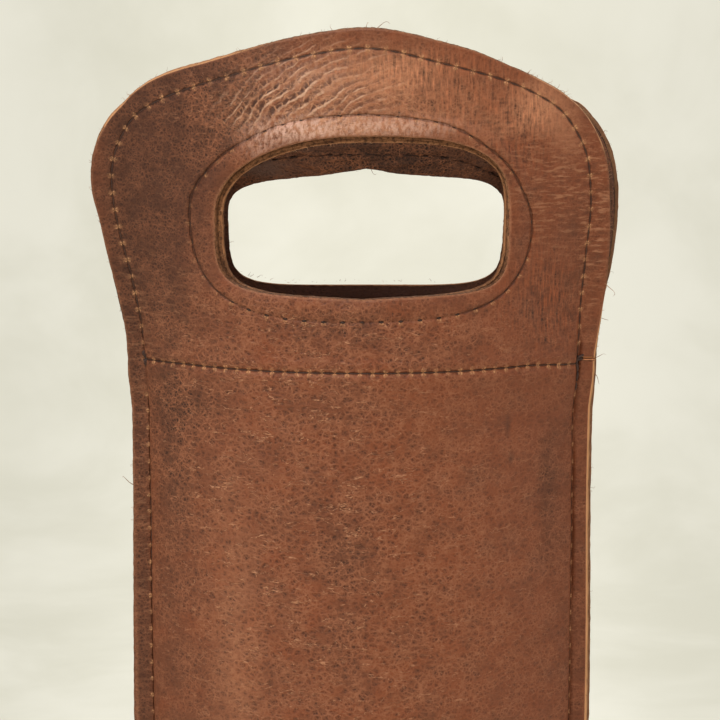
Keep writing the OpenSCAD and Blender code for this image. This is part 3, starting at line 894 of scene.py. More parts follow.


# Tone of the grain: places that are darker (below 0) or paler, how creased the skin is, and
# where it is drawn into small wrinkles. The tone patches hold painted light as well as the leather's
# own tone: the paler ones at the top of the front head and along its opening's rim are partly
# painted highlight, where the leather there faces up to the light
tones = {
    front: [((-62, 335), (22, 40), -0.75), ((-45, 365), (22, 14), -0.45), ((-62, 300), (18, 22), -0.3),
            ((0, 366), (34, 12), 0.5), ((-14, 354), (13, 3.2), 0.75), ((6, 354), (14, 3), 0.4),
            ((22, 360), (18, 10), 0.35), ((-34, 346), (5, 6), 0.35), ((52, 345), (14, 16), 0.2),
            ((60, 318), (16, 22), -0.15), ((0, 300), (40, 6), -0.12), ((-38, 200), (12, 70), 0.4),
            ((-58, 240), (6, 70), -0.2), ((66, 200), (8, 120), -0.25), ((30, 230), (26, 60), 0.08),
            ((0, 235), (20, 40), -0.08), ((-71, 330), (4, 60), -0.35), ((71.8, 200), (3, 110), -0.6),
            ((-71.8, 200), (3, 110), -0.8), ((-55, 225), (12, 60), -0.25), ((-10, 240), (16, 14), -0.3),
            ((40, 352), (9, 7), 0.25), ((-52, 350), (20, 22), -0.35), ((50, 356), (8, 7), 0.4),
            ((-20, 366), (14, 8), 0.25), ((8, 368), (14, 6), 0.3), ((0, 291), (34, 5), -0.2),
            ((-46, 357), (14, 9), -0.4), ((-4, 299), (17, 6), -0.3), ((-46, 269), (16, 9), -0.4),
            ((-56, 246), (8, 10), -0.3), ((57, 238), (5, 26), -0.35), ((46, 325), (4, 12), -0.25),
            ((-25, 375), (9, 5), -0.7), ((11, 370), (10, 6), 0.2), ((52, 356), (7, 5), 0.2),
            ((-2, 293), (24, 6), -0.2), ((-37, 363), (11, 8), -0.7), ((-44, 355), (12, 7), -0.4),
            ((16, 363), (12, 7), -0.3), ((51, 363), (8, 5), 0.5), ((60, 351), (5, 8), 0.35),
            ((46, 347), (7, 6), -0.45), ((-54, 274), (10, 7), -0.3), ((72, 200), (3, 70), 0.25),
            ((-4, 272), (12, 8), -0.35), ((-2, 215), (9, 42), -0.32), ((-60, 264), (9, 14), -0.3),
            ((56, 254), (4, 16), -0.4), ((-38, 358), (12, 10), -0.7)],
    rear: [((0, 320), (60, 40), -0.3), ((0, 150), (40, 90), 0.15), ((70, 200), (6, 120), -0.4),
           ((-70, 200), (6, 120), -0.4)],
}
# The rear facing's patches are mostly painted light and shade: paler at the left of the band above the
# opening, where light reaches it from below, darker at its right, in the shade between the heads, and paler
# low in the opening, lifting it where it lies deep in shade
liningTones = {
    front: [((0, 325), (90, 60), -0.2)],
    rear: [((-31, 350.5), (13, 4), 1.1), ((8, 353), (20, 8), -1.2), ((34, 352), (6, 5), 0.6),
           ((0, 303), (44, 5), 1.1), ((-40, 330), (3, 24), 0.5)],
}
# Painted highlight along the rim of the front opening, where it faces up to the light
rimHighlightPlaces = [((-17, 353.2), (11, 3.4), 1.2), ((4, 354), (12, 2.6), 0.7), ((-28, 348.5), (5, 4), 0.45),
              ((18, 353.6), (9, 2.4), 0.35), ((-15, 368), (16, 6), 0.22)]
# Where fine streaks run down the grain
streakedPlaces = [((22, 362), (16, 10), 0.95), ((44, 352), (10, 12), 1.0), ((-46, 330), (14, 30), 0.25),
                  ((0, 301), (40, 5), 0.4), ((-58, 270), (8, 12), 0.3), ((57, 300), (9, 12), 0.8),
                  ((50, 308), (14, 14), 0.5), ((10, 372), (30, 5), 0.7)]
creasedPlaces = {
    front: [((-16, 362), (28, 14), 0.5), ((-34, 356), (14, 12), 0.6), ((35, 350), (24, 14), 0.2),
            ((2, 358), (14, 6), 0.6), ((-30, 262), (30, 40), 0.8), ((-15, 220), (36, 60), 0.8),
            ((30, 215), (40, 60), 0.25), ((-8, 292), (30, 8), 0.5), ((10, 292), (50, 10), 0.2)],
    rear: [((0, 340), (70, 40), 0.6), ((0, 180), (60, 90), 0.6)],
}
wrinkledPlaces = {
    front: [((58, 335), (12, 16), 1.0), ((70, 325), (5, 30), 0.9), ((40, 345), (10, 14), 0.4),
            ((-71, 250), (4, 60), 0.5), ((-60, 300), (16, 14), 0.3)],
    rear: [((60, 335), (20, 30), 0.8), ((-60, 335), (20, 30), 0.8)],
}


# How strongly the needle holes show: the slot along the thread and the hole itself, both painted shade, and
# its pale star, partly painted highlight, each above the opening and below it; then the rubbed edges and
# the scratches, in millimetres
marks = {
    "slot": 0.8, "openingSlot": (0.75, 0.12), "openingHole": (0.35, 1.0), "openingStar": (0.12, 0.85),
    "crossStar": 0.95, "liningStar": 0.25, "cutRub": 0.6, "cutRubWidth": 0.5, "edgeRub": 0.35,
    "edgeRubWidth": 0.45, "scratchWidth": 3, "shadedFurrowWidth": 0.24, "creased": 0.1, "far": 9.0,
    "liningFresh": 0.5, "liningFreshWidth": 0.25, "liningGapShade": (60, 5, 2), "liningFrom": (290, 10),
}


def grainAttributes(side, points, leather=True):
    # Values that the leather's material reads at each flat place
    s, h = points.T
    m = marks
    best, pitch = np.full(len(points), 99.0), np.full(len(points), 5.0)
    rowAlong, kind, slot, mark = np.zeros((4, len(points)))
    for name, (line, count) in rows[side].items():
        along, away = nearest(points, line)
        closer = away < best
        best[closer] = away[closer]
        rowAlong[closer] = (along * count / lengthOf(line))[closer]
        pitch[closer] = lengthOf(line) / count
        mark[closer] = 0
        kind[closer] = (m["crossStar"] if name == "cross" else 1.0) if leather else m["liningStar"]
        slot[closer] = m["slot"]
        if name == "opening":
            under = underOpening(s, h)
            slot[closer] = mix(*m["openingSlot"], under)[closer]
            mark[closer] = mix(*m["openingHole"], under)[closer]
            # Painted highlight: the opening's pale stars are stronger on the lower side of each hole, where
            # its lip would catch the light from above
            below = ease((ringEdge(fromMiddle(points))[:, 1] - h + 0.15) / 0.5)
            kind[closer] = kind[closer] * mix(*m["openingStar"], below)[closer]
    cutAlong, cut = nearest(points, cutLine(side, leather))
    line = headLine(side)
    outer = np.minimum(nearest(points, line)[1], np.where(h < seamHeight, panelHalf - np.abs(s), 99))
    rubbed = m["cutRub"] * near(cut, m["cutRubWidth"]) + m["edgeRub"] * near(outer, m["edgeRubWidth"])
    every = lambda places: sum(amount * patch(s, h, place, size) for place, size, amount in places)
    values = {"rowAlong": rowAlong, "rowAway": np.minimum(best, m["far"]), "rowKind": kind, "slot": slot,
              "mark": mark, "pitch": pitch, "tone": every((tones if leather else liningTones)[side]),
              "creased": np.clip(m["creased"] + every(creasedPlaces[side]), 0, 1),
              "wrinkled": np.clip(every(wrinkledPlaces[side]), 0, 1), "cutAlong": cutAlong,
              "cutAway": cut, "scratched": 0 * cut if leather else near(cut, m["scratchWidth"]),
              "rubbed": np.clip(rubbed, 0, 1), "freshCutAndShade": freshCutAndShadeAt(side, points)}
    if not leather:
        # Painted shade: the linings' cut edges are darkened at the right of the head, in the gap between
        # the two heads
        dark = rising(s, *m["liningGapShade"]) * rising(h, *m["liningFrom"])
        values["freshCutAndShade"] = values["freshCutAndShade"] + m["liningFresh"] * near(cut, m["liningFreshWidth"]) - dark
    elif side == front:
        values["fanAcross"], values["fanAlong"], values["fan"] = fanAt(points)
        # Painted shade along the thin creases
        values["shadedFurrow"] = creaseAt(points, m["shadedFurrowWidth"])
        # Painted highlight on the rim of the front opening
        values["rimHighlight"] = np.clip(every(rimHighlightPlaces), 0, 1) * (cut > 0.1)
        values["streaked"] = np.clip(every(streakedPlaces), 0, 1)
    return values


# Where a cut edge is pale and slopes, mainly on the right side and the upper left of the head, and where it
# is
# darker: a little within the lower opening, and at the front's right as painted shade in the gap before the
# rear head. Each pair says where that starts and over how far it rises, and a third number its share
cutTones = {
    "rear": (40, 20), "left": (20, 20, 0.55), "right": (44, 6, 0.4), "side": (62, 8), "head": (345, 12),
    "gapShadeFrom": (60, 5), "gapShadePlace": (78, 328), "gapShadeSize": (14, 22), "gapShaded": 2,
    "openingHalf": 50, "openingBelow": 8, "openingFrom": (296, 4), "within": 0.25,
}


def rising(value, start, over, share=1):
    return share * ease((value - start) / over)


def freshCutAndShadeAt(side, points):
    s, h = points.T
    c = cutTones
    if side == rear:
        return rising(s, *c["rear"])
    upper = rising(-s, *c["left"]) + rising(s, *c["right"])
    freshCutAndShade = rising(s, *c["side"]) + upper * rising(h, *c["head"])
    # Painted shade: the front's cut edge is darkened at the right of the head, in the gap before the rear
    # head
    gapShaded = patch(s, h, c["gapShadePlace"], c["gapShadeSize"]) * rising(s, *c["gapShadeFrom"])
    below = ease((openMiddle - c["openingBelow"] - h) / c["openingBelow"])
    within = (np.abs(s) < c["openingHalf"]) * below * rising(h, *c["openingFrom"])
    return np.clip(freshCutAndShade - c["within"] * within, -c["within"], 1) - c["gapShaded"] * gapShaded


meshing = {
    "columnStep": 1.25, "rowStep": 1.7, "outlineStep": 1.3, "fineStep": 0.62, "fineFrom": -52, "fineTo": 30,
    "bandCells": 11, "headCells": 30, "stripShares": [0, 0.07, 0.14, 0.3, 0.5, 0.7, 0.85, 1],
    "closeSteps": [0.3, 0.4, 0.5, 0.7, 0.9, 1.1, 1.2], "frontTrim": 0.2, "rearBeyond": 0.45,
    "leftBeyond": 1.1, "rightBeyond": 0.4, "beyondFrom": 20, "beyondOver": 110, "leftSwell": 0.1,
    "rightNip": 0.4, "nipHeight": 240, "nipRun": 28, "seamSteps": [0.4, 0.5, 0.6, 0.8, 1.0],
    "bandPower": 1.6, "fieldEase": 0.09, "liningColumns": 111, "liningEdge": 230, "liningCells": 37,
    "liningPower": 1.4, "liningInset": 0.3, "hemShare": 0.9,
}


def spreadFrom(start, end, steps, step):
    # Places from start to end: close together first, then evenly
    places = [start]
    for close in steps:
        places.append(places[-1] + math.copysign(close, end - start))
    count = max(1, round(abs(end - places[-1]) / step))
    return np.concatenate([places, np.linspace(places[-1], end, count + 1)[1:]])


def crossColumns(step, side):
    half = panelHalf - carrier["edgeMargin"]
    left = spreadFrom(-half, 0, meshing["closeSteps"], step)
    right = spreadFrom(seamIn[side] - half, 0, meshing["closeSteps"], step)
    return np.concatenate([left, -right[-2::-1]])


def outlineSteps(line, coarse, fine):
    # Distances along the edge row, closer together where the head is creased
    distances, run = [0.0], runOf(line)
    while distances[-1] < run[-1]:
        s, h = placeOn(line, [distances[-1]])[0]
        creasy = meshing["fineFrom"] < s < meshing["fineTo"] and h > openMiddle
        distances.append(distances[-1] + (fine if creasy else coarse))
    return np.array(distances) * run[-1] / distances[-1]


def panelFlat(side):
    # Flat mesh of a whole panel, pouch and head, with grid lines along its stitched rows
    m = meshing
    fine = m["fineStep"] if side == front else m["outlineStep"]
    middle = crossColumns(m["columnStep"], side)
    row = rows[side]["edge"][0]
    distances = outlineSteps(row, m["outlineStep"], fine)
    edge = placeOn(row, distances)
    outer = placeOn(headLine(side), distances * lengthOf(headLine(side)) / lengthOf(row))
    trim = (m["frontTrim"] if side == front else -m["rearBeyond"]) * ease(outer[:, 0] / 50)
    outer = outer + sideways(outer) * trim[:, None]
    end = panelHalf - carrier["edgeMargin"]
    leftEnd = -panelHalf - m["leftSwell"] * (side == front)
    outer[0], outer[-1] = (leftEnd, seamHeight), (panelHalf - trim[-1], seamHeight)
    shares = np.array(m["stripShares"])[:, None]
    strip = [mix(e, o, shares) for e, o in zip(edge, outer)]
    ringway = np.concatenate([np.stack([middle, np.full(len(middle), seamHeight)], -1), edge[::-1][1:-1]])
    toward = fromMiddle(ringway)
    cut, ring = openEdge(side, toward, True), ringEdge(toward)
    band = 1 - np.linspace(1, 0, m["bandCells"] + 1) ** m["bandPower"]
    field = np.linspace(0, 1, m["headCells"] + 1)
    field = field - m["fieldEase"] * np.sin(2 * math.pi * field)
    columns = [np.concatenate([mix(c, r, band[:, None]), mix(r, e, field[1:, None])])
               for c, r, e in zip(cut, ring, ringway)]
    columns.append(columns[0])
    heights = spreadFrom(seamHeight, 0, m["seamSteps"], m["rowStep"])
    lower = ease((seamHeight - m["beyondFrom"] - heights) / m["beyondOver"])
    swell = (leftEnd + panelHalf) * near(seamHeight - heights, m["nipRun"])
    nip = m["rightNip"] * near(heights - m["nipHeight"], m["nipRun"])
    leftEdge = swell - panelHalf - m["leftBeyond"] * lower
    rightEdge = panelHalf - trim[-1] + m["rightBeyond"] * lower - nip
    left = [mix(-end, leftEdge, share) for share in m["stripShares"]][::-1]
    right = [mix(end - seamIn[side], rightEdge, share) for share in m["stripShares"]]
    pouch = [np.stack([s + 0 * heights, heights], -1) for s in [*left[:-1], *middle, *right[1:]]]
    return joinPatches([gridPatch(columns), gridPatch(strip), gridPatch(pouch)])


def panelPiece(side):
    flat, quads = panelFlat(side)

    def heights(s, h):
        out = reliefAt(side, s, h)
        close = ease((panelHalf - np.abs(s)) / 8)
        return carrier["panel"] + out, 0.04 + np.clip(out, -0.5, 2) * 0.4 * close * (h < hemBottom)
    materials = [leatherGrain, leatherFlesh, leatherEdge]

    def bevelAt(line):
        uncut = 1 - 0.7 * patch(line[:, 0], line[:, 1], (73, 302), (9, 15))
        return 0.2 + 0.65 * np.maximum(freshCutAndShadeAt(side, line), 0) * (side == front) * uncut
    return sheetPiece(sideNames[side] + "_leather", side, flat, quads, heights,
                      lambda points: grainAttributes(side, points), materials, bevelAt)


def liningFlat(side):
    # Flat mesh of a facing: the head, and a hem that reaches below the cross seam
    m = meshing
    row = headLine(side)
    edge = placeOn(row, np.linspace(0, lengthOf(row), m["liningEdge"]))
    inset = m["liningInset"] + (0.1 if side == front else 0.4) * ease(edge[:, 0] / 50)
    edge = edge + sideways(edge) * inset[:, None]
    bottom = bendHeight + carrier["gap"]
    hemHalf = carrier["seamHalf"] * m["hemShare"]
    across = np.linspace(edge[0, 0], edge[-1, 0], m["liningColumns"])
    edge[0, 1] = edge[-1, 1] = bottom
    drop = ease((hemHalf + 2 - np.abs(across)) / 3) * (bottom - hemBottom)
    low = np.stack([across, bottom - drop], -1)
    ringway = np.concatenate([low, edge[::-1][1:-1]])
    toward = fromMiddle(ringway)
    cut = openEdge(side, toward)
    shares = np.linspace(0, 1, m["liningCells"])[:, None] ** m["liningPower"]
    columns = [mix(c, e, shares) for c, e in zip(cut, ringway)]
    columns.append(columns[0])
    return joinPatches([gridPatch(columns)])


liningRelief = {
    "skived": 0.8, "skivedWidth": 2.5, "wrinkleHeight": 0.5, "wrinkleSpacing": 3.4,
    "wrinklePlace": (0, 362), "wrinkleSize": (46, 12), "groove": 0.3, "grooveWidth": 0.8,
    "wave": 0.15, "waveSize": 9, "bevel": 0.15,
    "deepest": {front: -0.1, rear: -0.6}, "clearTo": 12,
}


def liningPiece(side):
    flat, quads = liningFlat(side)
    r = liningRelief

    def heights(s, h):
        points = np.stack([s, h], -1)
        bend = softNoise(s, h, 11, 61) * 1.4 + softNoise(s, h, 4, 62) * 0.4
        wrinkle = (0.5 + 0.5 * np.cos((h + bend) * 2 * math.pi / r["wrinkleSpacing"])) ** 1.5
        wrinkle = wrinkle * patch(s, h, r["wrinklePlace"], r["wrinkleSize"]) * r["wrinkleHeight"]
        row = np.minimum(nearest(points, rows[side]["edge"][0])[1],
                         nearest(points, rows[side]["opening"][0])[1])
        groove = r["groove"] * near(row, r["grooveWidth"])
        wave = r["wave"] * softNoise(s, h, r["waveSize"], 63)
        fromCut = nearest(points, cutLine(side, False))[1]
        skived = r["skived"] * (side == rear) * near(fromCut, r["skivedWidth"])
        inner = np.clip(groove - wave - wrinkle, r["deepest"][side], 0.5) - carrier["facing"] + skived * 0.3
        close = h < seamHeight + r["clearTo"]
        return -0.04 - skived * 0.7, np.where(close, np.maximum(inner, -carrier["facing"]), inner)
    return sheetPiece(sideNames[side] + "_lining", side, flat, quads, heights,
                      lambda points: grainAttributes(side, points, False),
                      [leatherFlesh, liningGrain, liningEdge], lambda line: np.full(len(line), r["bevel"]),
                      rim=cutLine(side, False))


panels = {side: panelPiece(side) for side in (front, rear)}
linings = {side: liningPiece(side) for side in (front, rear)}
sheets = [*panels.values(), *linings.values()]
print("leather sheets made:", {sheet.name: len(sheet.data.polygons) * 2 for sheet in sheets})


# The foot: a stiff leather plate with its rim turned down inside the panels

footShape = {"steps": 120, "topRound": 0.7, "rimRound": 0.5, "within": 0.985, "widest": 0.996}


def footPiece():
    f = footShape
    half, widest = carrier["seamHalf"] * f["within"], f["widest"]
    s = np.sin(np.linspace(-0.5, 0.5, f["steps"]) * math.pi) * half
    line = np.concatenate([bent(front, s, 0 * s), bent(rear, s[::-1][1:-1], 0 * s[1:-1])])[:, :2]
    rim, top = carrier["rim"], carrier["rim"] + carrier["foot"]
    inner = 1 - carrier["foot"] / footDepth
    # From the middle of its underside round the rim to the middle of its top: share out, and height
    section = [(0.0, rim), (0.5, rim), (inner - 0.02, rim), (inner, rim - 0.8), (inner, f["rimRound"]),
               (inner + 0.012, 0.02), (0.985, 0.0), (widest, f["rimRound"]), (widest, top - f["topRound"]),
               (0.985, top - 0.15), (0.96, top), (0.5, top), (0.0, top)]
    points, faces = [], []
    n = len(line)
    for share, z in section[1:-1]:
        points += [(x * share * mm, y * share * mm, z * mm) for x, y in line]
    for k in range(0, (len(section) - 3) * n, n):
        faces += [(k + i, k + (i + 1) % n, k + n + (i + 1) % n, k + n + i) for i in range(n)]
    for k, z in ((0, section[0][1]), (len(section) - 3, section[-1][1])):
        points.append((0, 0, z * mm))
        centre = len(points) - 1
        for i in range(n):
            a, b = k * n + i, k * n + (i + 1) % n
            faces.append((centre, b, a) if k == 0 else (centre, a, b))
    piece = newPiece("foot_leather", points, faces)
    piece.data.validate()
    return piece


def footMaterial():
    n = newMaterial("foot_grain")
    place = n.objectPlace()
    pebble = n.cells(place, 750.0, "SMOOTH_F1")
    base = n.mix(n.noise(place, 45.0, 4.0, 0.6).fade(0.35, 0.65), colour(96, 58, 42), colour(132, 82, 56))
    base = n.mix(pebble.fade(0.35, 0.7, 0.0, 0.4), base, colour(64, 36, 26))
    scuffs = n.noise(place, 160.0, 5.0, 0.75).fade(0.58, 0.72, 0.0, 0.5)
    base = n.mix(scuffs, base, colour(176, 124, 88))
    return n.finish(base, 0.6, n.noise(place, 1800.0, 3.0) * 0.15 - pebble * 0.2)


foot = footPiece()
foot.data.materials.append(footMaterial())


# Groups that set one shape on each bare point, turned and sized by the point's own vectors

def newTree(name, inputs):
    # Its nodes, what it is given, and the keys of its inputs in a modifier
    tree = bpy.data.node_groups.new(name, "GeometryNodeTree")
    kinds = {"Geometry": "Geometry", "Material": "Material", "Sides": "Int", "Steps": "Int", "Seed": "Int"}
    sockets = {}
    for key, value in {"Geometry": None, **inputs, "Material": None}.items():
        kind = "NodeSocket" + kinds.get(key, "Float")
        socket = tree.interface.new_socket(key, in_out="INPUT", socket_type=kind)
        if value is not None:
            socket.default_value = value
        sockets[key] = socket.identifier
    tree.interface.new_socket("Geometry", in_out="OUTPUT", socket_type="NodeSocketGeometry")
    n = Nodes(tree, sockets)
    outputs = tree.nodes.new("NodeGroupInput").outputs
    return n, {key: Field(n, outputs[key]) for key in sockets}


def finishTree(n, given, shape, rotation, scale, smooth):
    placed = n.put("GeometryNodeInstanceOnPoints", {
        "Points": given["Geometry"], "Instance": shape, "Rotation": rotation, "Scale": scale})
    real = n.put("GeometryNodeRealizeInstances", {0: placed})
    if smooth:
        real = n.put("GeometryNodeSetShadeSmooth", {0: real})
    dressed = n.put("GeometryNodeSetMaterial", {0: real, "Material": given["Material"]})
    n.put("NodeGroupOutput", {0: dressed})
    return n


def stitchTree():
    # One bowed length of thread, thinner at its ends
    n, given = newTree("Stitches", {"Length": 0.004, "Radius": 0.0004, "Bow": 0.0004, "Sides": 6,
                                    "Steps": 5, "Unevenness": 0.08, "Seed": 1})
    half, down = given["Length"] * 0.5, -given["Bow"]
    curve = n.put("GeometryNodeCurveQuadraticBezier", {
        0: given["Steps"], 1: n.combine(-half, z=down), 2: n.combine(0.0, z=given["Bow"]),
        3: n.combine(half, z=down)})
    offCentre = (n.put("GeometryNodeSplineParameter") * 2.0 - 1.0).maths("ABSOLUTE")
    width = given["Radius"] * (1.0 - offCentre.maths("POWER", 4.0) * 0.5)
    turn = n.put("FunctionNodeAxesToRotation", {0: n.named("run"), 1: n.named("out")},
                 primary_axis="X", secondary_axis="Z")
    low, high = 1.0 - given["Unevenness"], given["Unevenness"] + 1.0
    uneven = n.put("FunctionNodeRandomValue", {2: low, 3: high, 8: given["Seed"]}, 1)
    scale = n.scaled(n.named("size"), uneven)
    return finishTree(n, given, n.tube(curve, given["Sides"], width), turn, scale, True)


stitches = stitchTree()


def instanced(name, nodes, points, vectors, values):
    # Runs a node tree on bare points and keeps the result as one plain mesh
    mesh = bpy.data.meshes.new(name + "_points")
    mesh.from_pydata(points.tolist(), [], [])
    for key, value in vectors.items():
        attribute = mesh.attributes.new(key, "FLOAT_VECTOR", "POINT")
        attribute.data.foreach_set("vector", value.ravel().astype(np.float32))
    source = newObject(name, mesh)
    modifier = source.modifiers.new("Made", "NODES")
    modifier.node_group = nodes.tree
    for key, value in values.items():
        modifier[nodes.owner[key]] = value
    depsgraph = bpy.context.evaluated_depsgraph_get()
    plain = bpy.data.meshes.new_from_object(source.evaluated_get(depsgraph))
    source.modifiers.remove(modifier)
    source.data = plain
    plain.name = name
    bpy.data.meshes.remove(mesh)
    return source


def squared(out, run):
    # The outward directions made square to the run
    return unit(out - np.sum(out * run, 1, keepdims=True) * run)


def stitchPlaces(side, line, count, lift, face="grain", share=0.5):
    # Places, directions and outward directions of the stitches of one row
    at = lengthOf(line) * (np.arange(count) + share) / count
    here, before, after = (placeOn(line, at + step) for step in (0, -0.8, 0.8))

    def on(p):
        if face == "grain":
            return grainSkin(side, *p.T, lift)
        return skin(side, *p.T, -carrier["facing"] - lift)
    run = unit(on(after) - on(before))
    out = outwards(side, *here.T) * (1 if face == "grain" else -1)
    return on(here) * mm, run, squared(out, run)


def threadPiece(name, parts, t, seed, unevenness=0.08):
    here, run, out = (np.concatenate(group) for group in zip(*parts))
    return instanced(name, stitches, here, {"run": run, "out": out, "size": np.ones((len(here), 3))},
                     {"Length": t["length"] * mm, "Radius": t["radius"] * mm, "Bow": t["bow"] * mm,
                      "Unevenness": unevenness, "Seed": seed, "Material": thread})


# Visible thread of each kind of row, in millimetres. Along the opening only the ends of the
# stitches show, slanting where they dive into the leather.
threads = {
    "edge": {"length": 3.9, "radius": 0.22, "bow": 0.2, "lift": -0.05},
    "opening": {"length": 1.5, "radius": 0.29, "bow": 0.12, "lift": -0.15, "slant": -20, "share": 0.0},
    "cross": {"length": 3.0, "radius": 0.17, "bow": 0.1, "lift": 0.0},
    "side": {"length": 3.9, "radius": 0.22, "bow": 0.2, "lift": -0.05},
    "base": {"length": 3.9, "radius": 0.34, "bow": 0.3, "lift": 0.1},
}


def slanted(places, degrees):
    # The same stitches turned on the spot
    here, run, out = places
    a = math.radians(degrees)
    return here, run * math.cos(a) + np.cross(out, run) * math.sin(a), out


seamThreads = {}
for side in (front, rear):
    own = rows[side]
    for row in ("edge", "opening", "cross"):
        t = threads[row]
        visible = stitchPlaces(side, *own[row], t["lift"], share=t.get("share", 0.5))
        parts = [slanted(visible, t.get("slant", 0)), stitchPlaces(side, *own[row], 0.0, face="lining")]
        name = f"{sideNames[side]}_{row}_thread"
        seamThreads[side, row] = threadPiece(name, parts, t, 7 + side)
for key, row, kind, seed in (("left", "left_side", "side", 3), ("right", "right_side", "side", 3),
                             ("base", "base", "base", 5)):
    t = threads[kind]
    parts = [stitchPlaces(side, *rows[side][row], t["lift"]) for side in (front, rear)]
    seamThreads[key] = threadPiece(row + "_thread", parts, t, seed)


# Backstitching where the cross seam meets the sides: short lengths over one another

knots = {
    # middle, half spread, how many lengths, and the turn about which they lie
    "left": ((-68.4, 284.2), (0.7, 1.3), 10, 80), "right": ((66.6, 280.4), (0.3, 4.4), 14, 88),
    "rightEnds": ((67.4, 284.4), (0.5, 0.8), 4, 20), "length": 2.4, "radius": 0.36, "bow": 0.25,
    "scatter": 35, "seed": 12, "lift": 0.1, "pile": 0.35,
}


def knotPiece(side):
    k = knots
    rng = np.random.RandomState(k["seed"] + side)
    parts = []
    for place in ("left", "right", "rightEnds"):
        middle, spread, count, turn = k[place]
        s = middle[0] + rng.uniform(-1, 1, count) * spread[0]
        h = middle[1] + rng.uniform(-1, 1, count) * spread[1]
        turn = np.radians(turn + rng.uniform(-1, 1, count) * k["scatter"] * (2 if place == "left" else 0.5))
        step = 0.5 * heading(turn)
        lift = k["lift"] + k["pile"] * rng.rand(count)
        here = grainSkin(side, s, h, lift)
        ahead = grainSkin(side, s + step[:, 0], h + step[:, 1], lift)
        run = unit(ahead - grainSkin(side, s - step[:, 0], h - step[:, 1], lift))
        parts.append((here * mm, run, squared(outwards(side, s, h), run)))
    return threadPiece(sideNames[side] + "_backstitch_thread", parts, k, 9, 0.3)


knotPieces = {side: knotPiece(side) for side in (front, rear)}
print("stitches made")


# Loose fibres along the raw edges

def fibreTree():
    # One thin hair, curled to one side and back
    n, given = newTree("Fibres", {"Length": 0.002, "Radius": 0.00006, "Curl": 0.0008, "Spread": 0.9,
                                  "Seed": 1})
    length, curl, spread = given["Length"], given["Curl"], given["Spread"]
    curve = n.put("GeometryNodeCurvePrimitiveBezierSegment", {
        "Resolution": 7, "Start": (0, 0, 0), "Start Handle": n.combine(length * 0.45, curl),
        "End Handle": n.combine(length, curl * -1.3), "End": n.combine(length, curl, curl)})
    hair = n.tube(curve, 3, given["Radius"] * (1.15 - n.put("GeometryNodeSplineParameter")))
    base = n.put("FunctionNodeAxesToRotation", {0: n.named("out"), 1: n.named("run")},
                 primary_axis="X", secondary_axis="Y")
    low, high = n.combine(-3.1, -spread, -spread), n.combine(3.1, spread, spread)
    sway = n.put("FunctionNodeRandomValue", {0: low, 1: high, 8: given["Seed"]}, data_type="FLOAT_VECTOR")
    swayed = n.put("FunctionNodeEulerToRotation", {0: sway})
    turned = n.put("FunctionNodeRotateRotation", {0: base, 1: swayed}, rotation_space="LOCAL")
    return finishTree(n, given, hair, turned, n.named("size"), False)


fibreNodes = fibreTree()
fibres = {"headCount": 330, "openingCount": 110, "flangeCount": 240, "length": 1.6, "radius": 0.07,
          "curl": 0.55, "spread": 0.9, "seed": 31, "rooted": 0.35, "depth": (0.3, 1.6), "clump": 7,
          "least": 0.3, "more": 1.2}
# A few long stray ones: flat place, direction in degrees and length in millimetres
strays = {
    front: [((-74, 246), 190, 5.5), ((-74, 322), 150, 3.2), ((-76, 338), 170, 3.0), ((3, 381), 70, 5.0),
            ((1, 381), 120, 3.4), ((-8, 380.5), 100, 2.2), ((21, 376), 75, 3.0), ((74, 308), -10, 6.0),
            ((74, 297), 15, 4.5), ((73.5, 284), -20, 3.6), ((74, 279), -70, 3.4), ((70, 350), 30, 3.6)],
    rear: [((-6, 352), -100, 3.6), ((2, 352), -60, 4.4), ((5, 352.4), -40, 3.2), ((-2, 352), -130, 3.0),
           ((-30, 348), -110, 3.0), ((14, 351.5), -50, 2.6), ((40, 345), -90, 2.0)],
}


def fibrePiece(side):
    f = fibres
    rng = np.random.RandomState(f["seed"] + side)
    outer = headLine(side)
    turn = rng.uniform(0, 2 * math.pi, f["openingCount"])
    cut = openEdge(side, heading(turn))
    head = placeOn(outer, rng.rand(f["headCount"]) * lengthOf(outer))
    flange = np.stack([rng.choice([-1.0, 1.0], f["flangeCount"]) * panelHalf,
                       rng.rand(f["flangeCount"]) * seamHeight], -1)
    places = np.concatenate([head, flange, cut])
    middle = np.array([0, openMiddle])
    outward = np.concatenate([unit(head - middle),
                              np.stack([np.sign(flange[:, 0]), 0 * flange[:, 1]], -1), unit(middle - cut)])
    clumps = 0.6 + 0.4 * softNoise(*places.T, f["clump"], 71)
    size = (f["least"] + f["more"] * rng.rand(len(places)) ** 3) * clumps
    spots, turns, lengths = zip(*strays[side])
    places = np.concatenate([places, spots])
    turns = np.radians(turns)
    outward = np.concatenate([outward, heading(turns)])
    size = np.concatenate([size, np.array(lengths) / f["length"]])
    start = places - outward * f["rooted"]
    depth = rng.uniform(*f["depth"], len(places))
    here = skin(side, *start.T, depth)
    out = unit(skin(side, *(start + outward).T, depth) - here)
    run = unit(np.cross(out, outwards(side, *start.T)))
    size = np.stack([size, np.sqrt(size), np.sqrt(size)], -1)
    return instanced(sideNames[side] + "_edge_fibres", fibreNodes, here * mm,
                     {"run": run, "out": out, "size": size},
                     {"Length": f["length"] * mm, "Radius": f["radius"] * mm, "Curl": f["curl"] * mm,
                      "Spread": f["spread"], "Seed": f["seed"], "Material": fibre})


fibrePieces = {side: fibrePiece(side) for side in (front, rear)}
print("fibres made")


# The frame's parts that these pieces replace are hidden, and each piece's placement is baked into its mesh.
# The foot and the side and base threads ride on the pouch's body.


def bendWith(piece):
    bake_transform(piece)


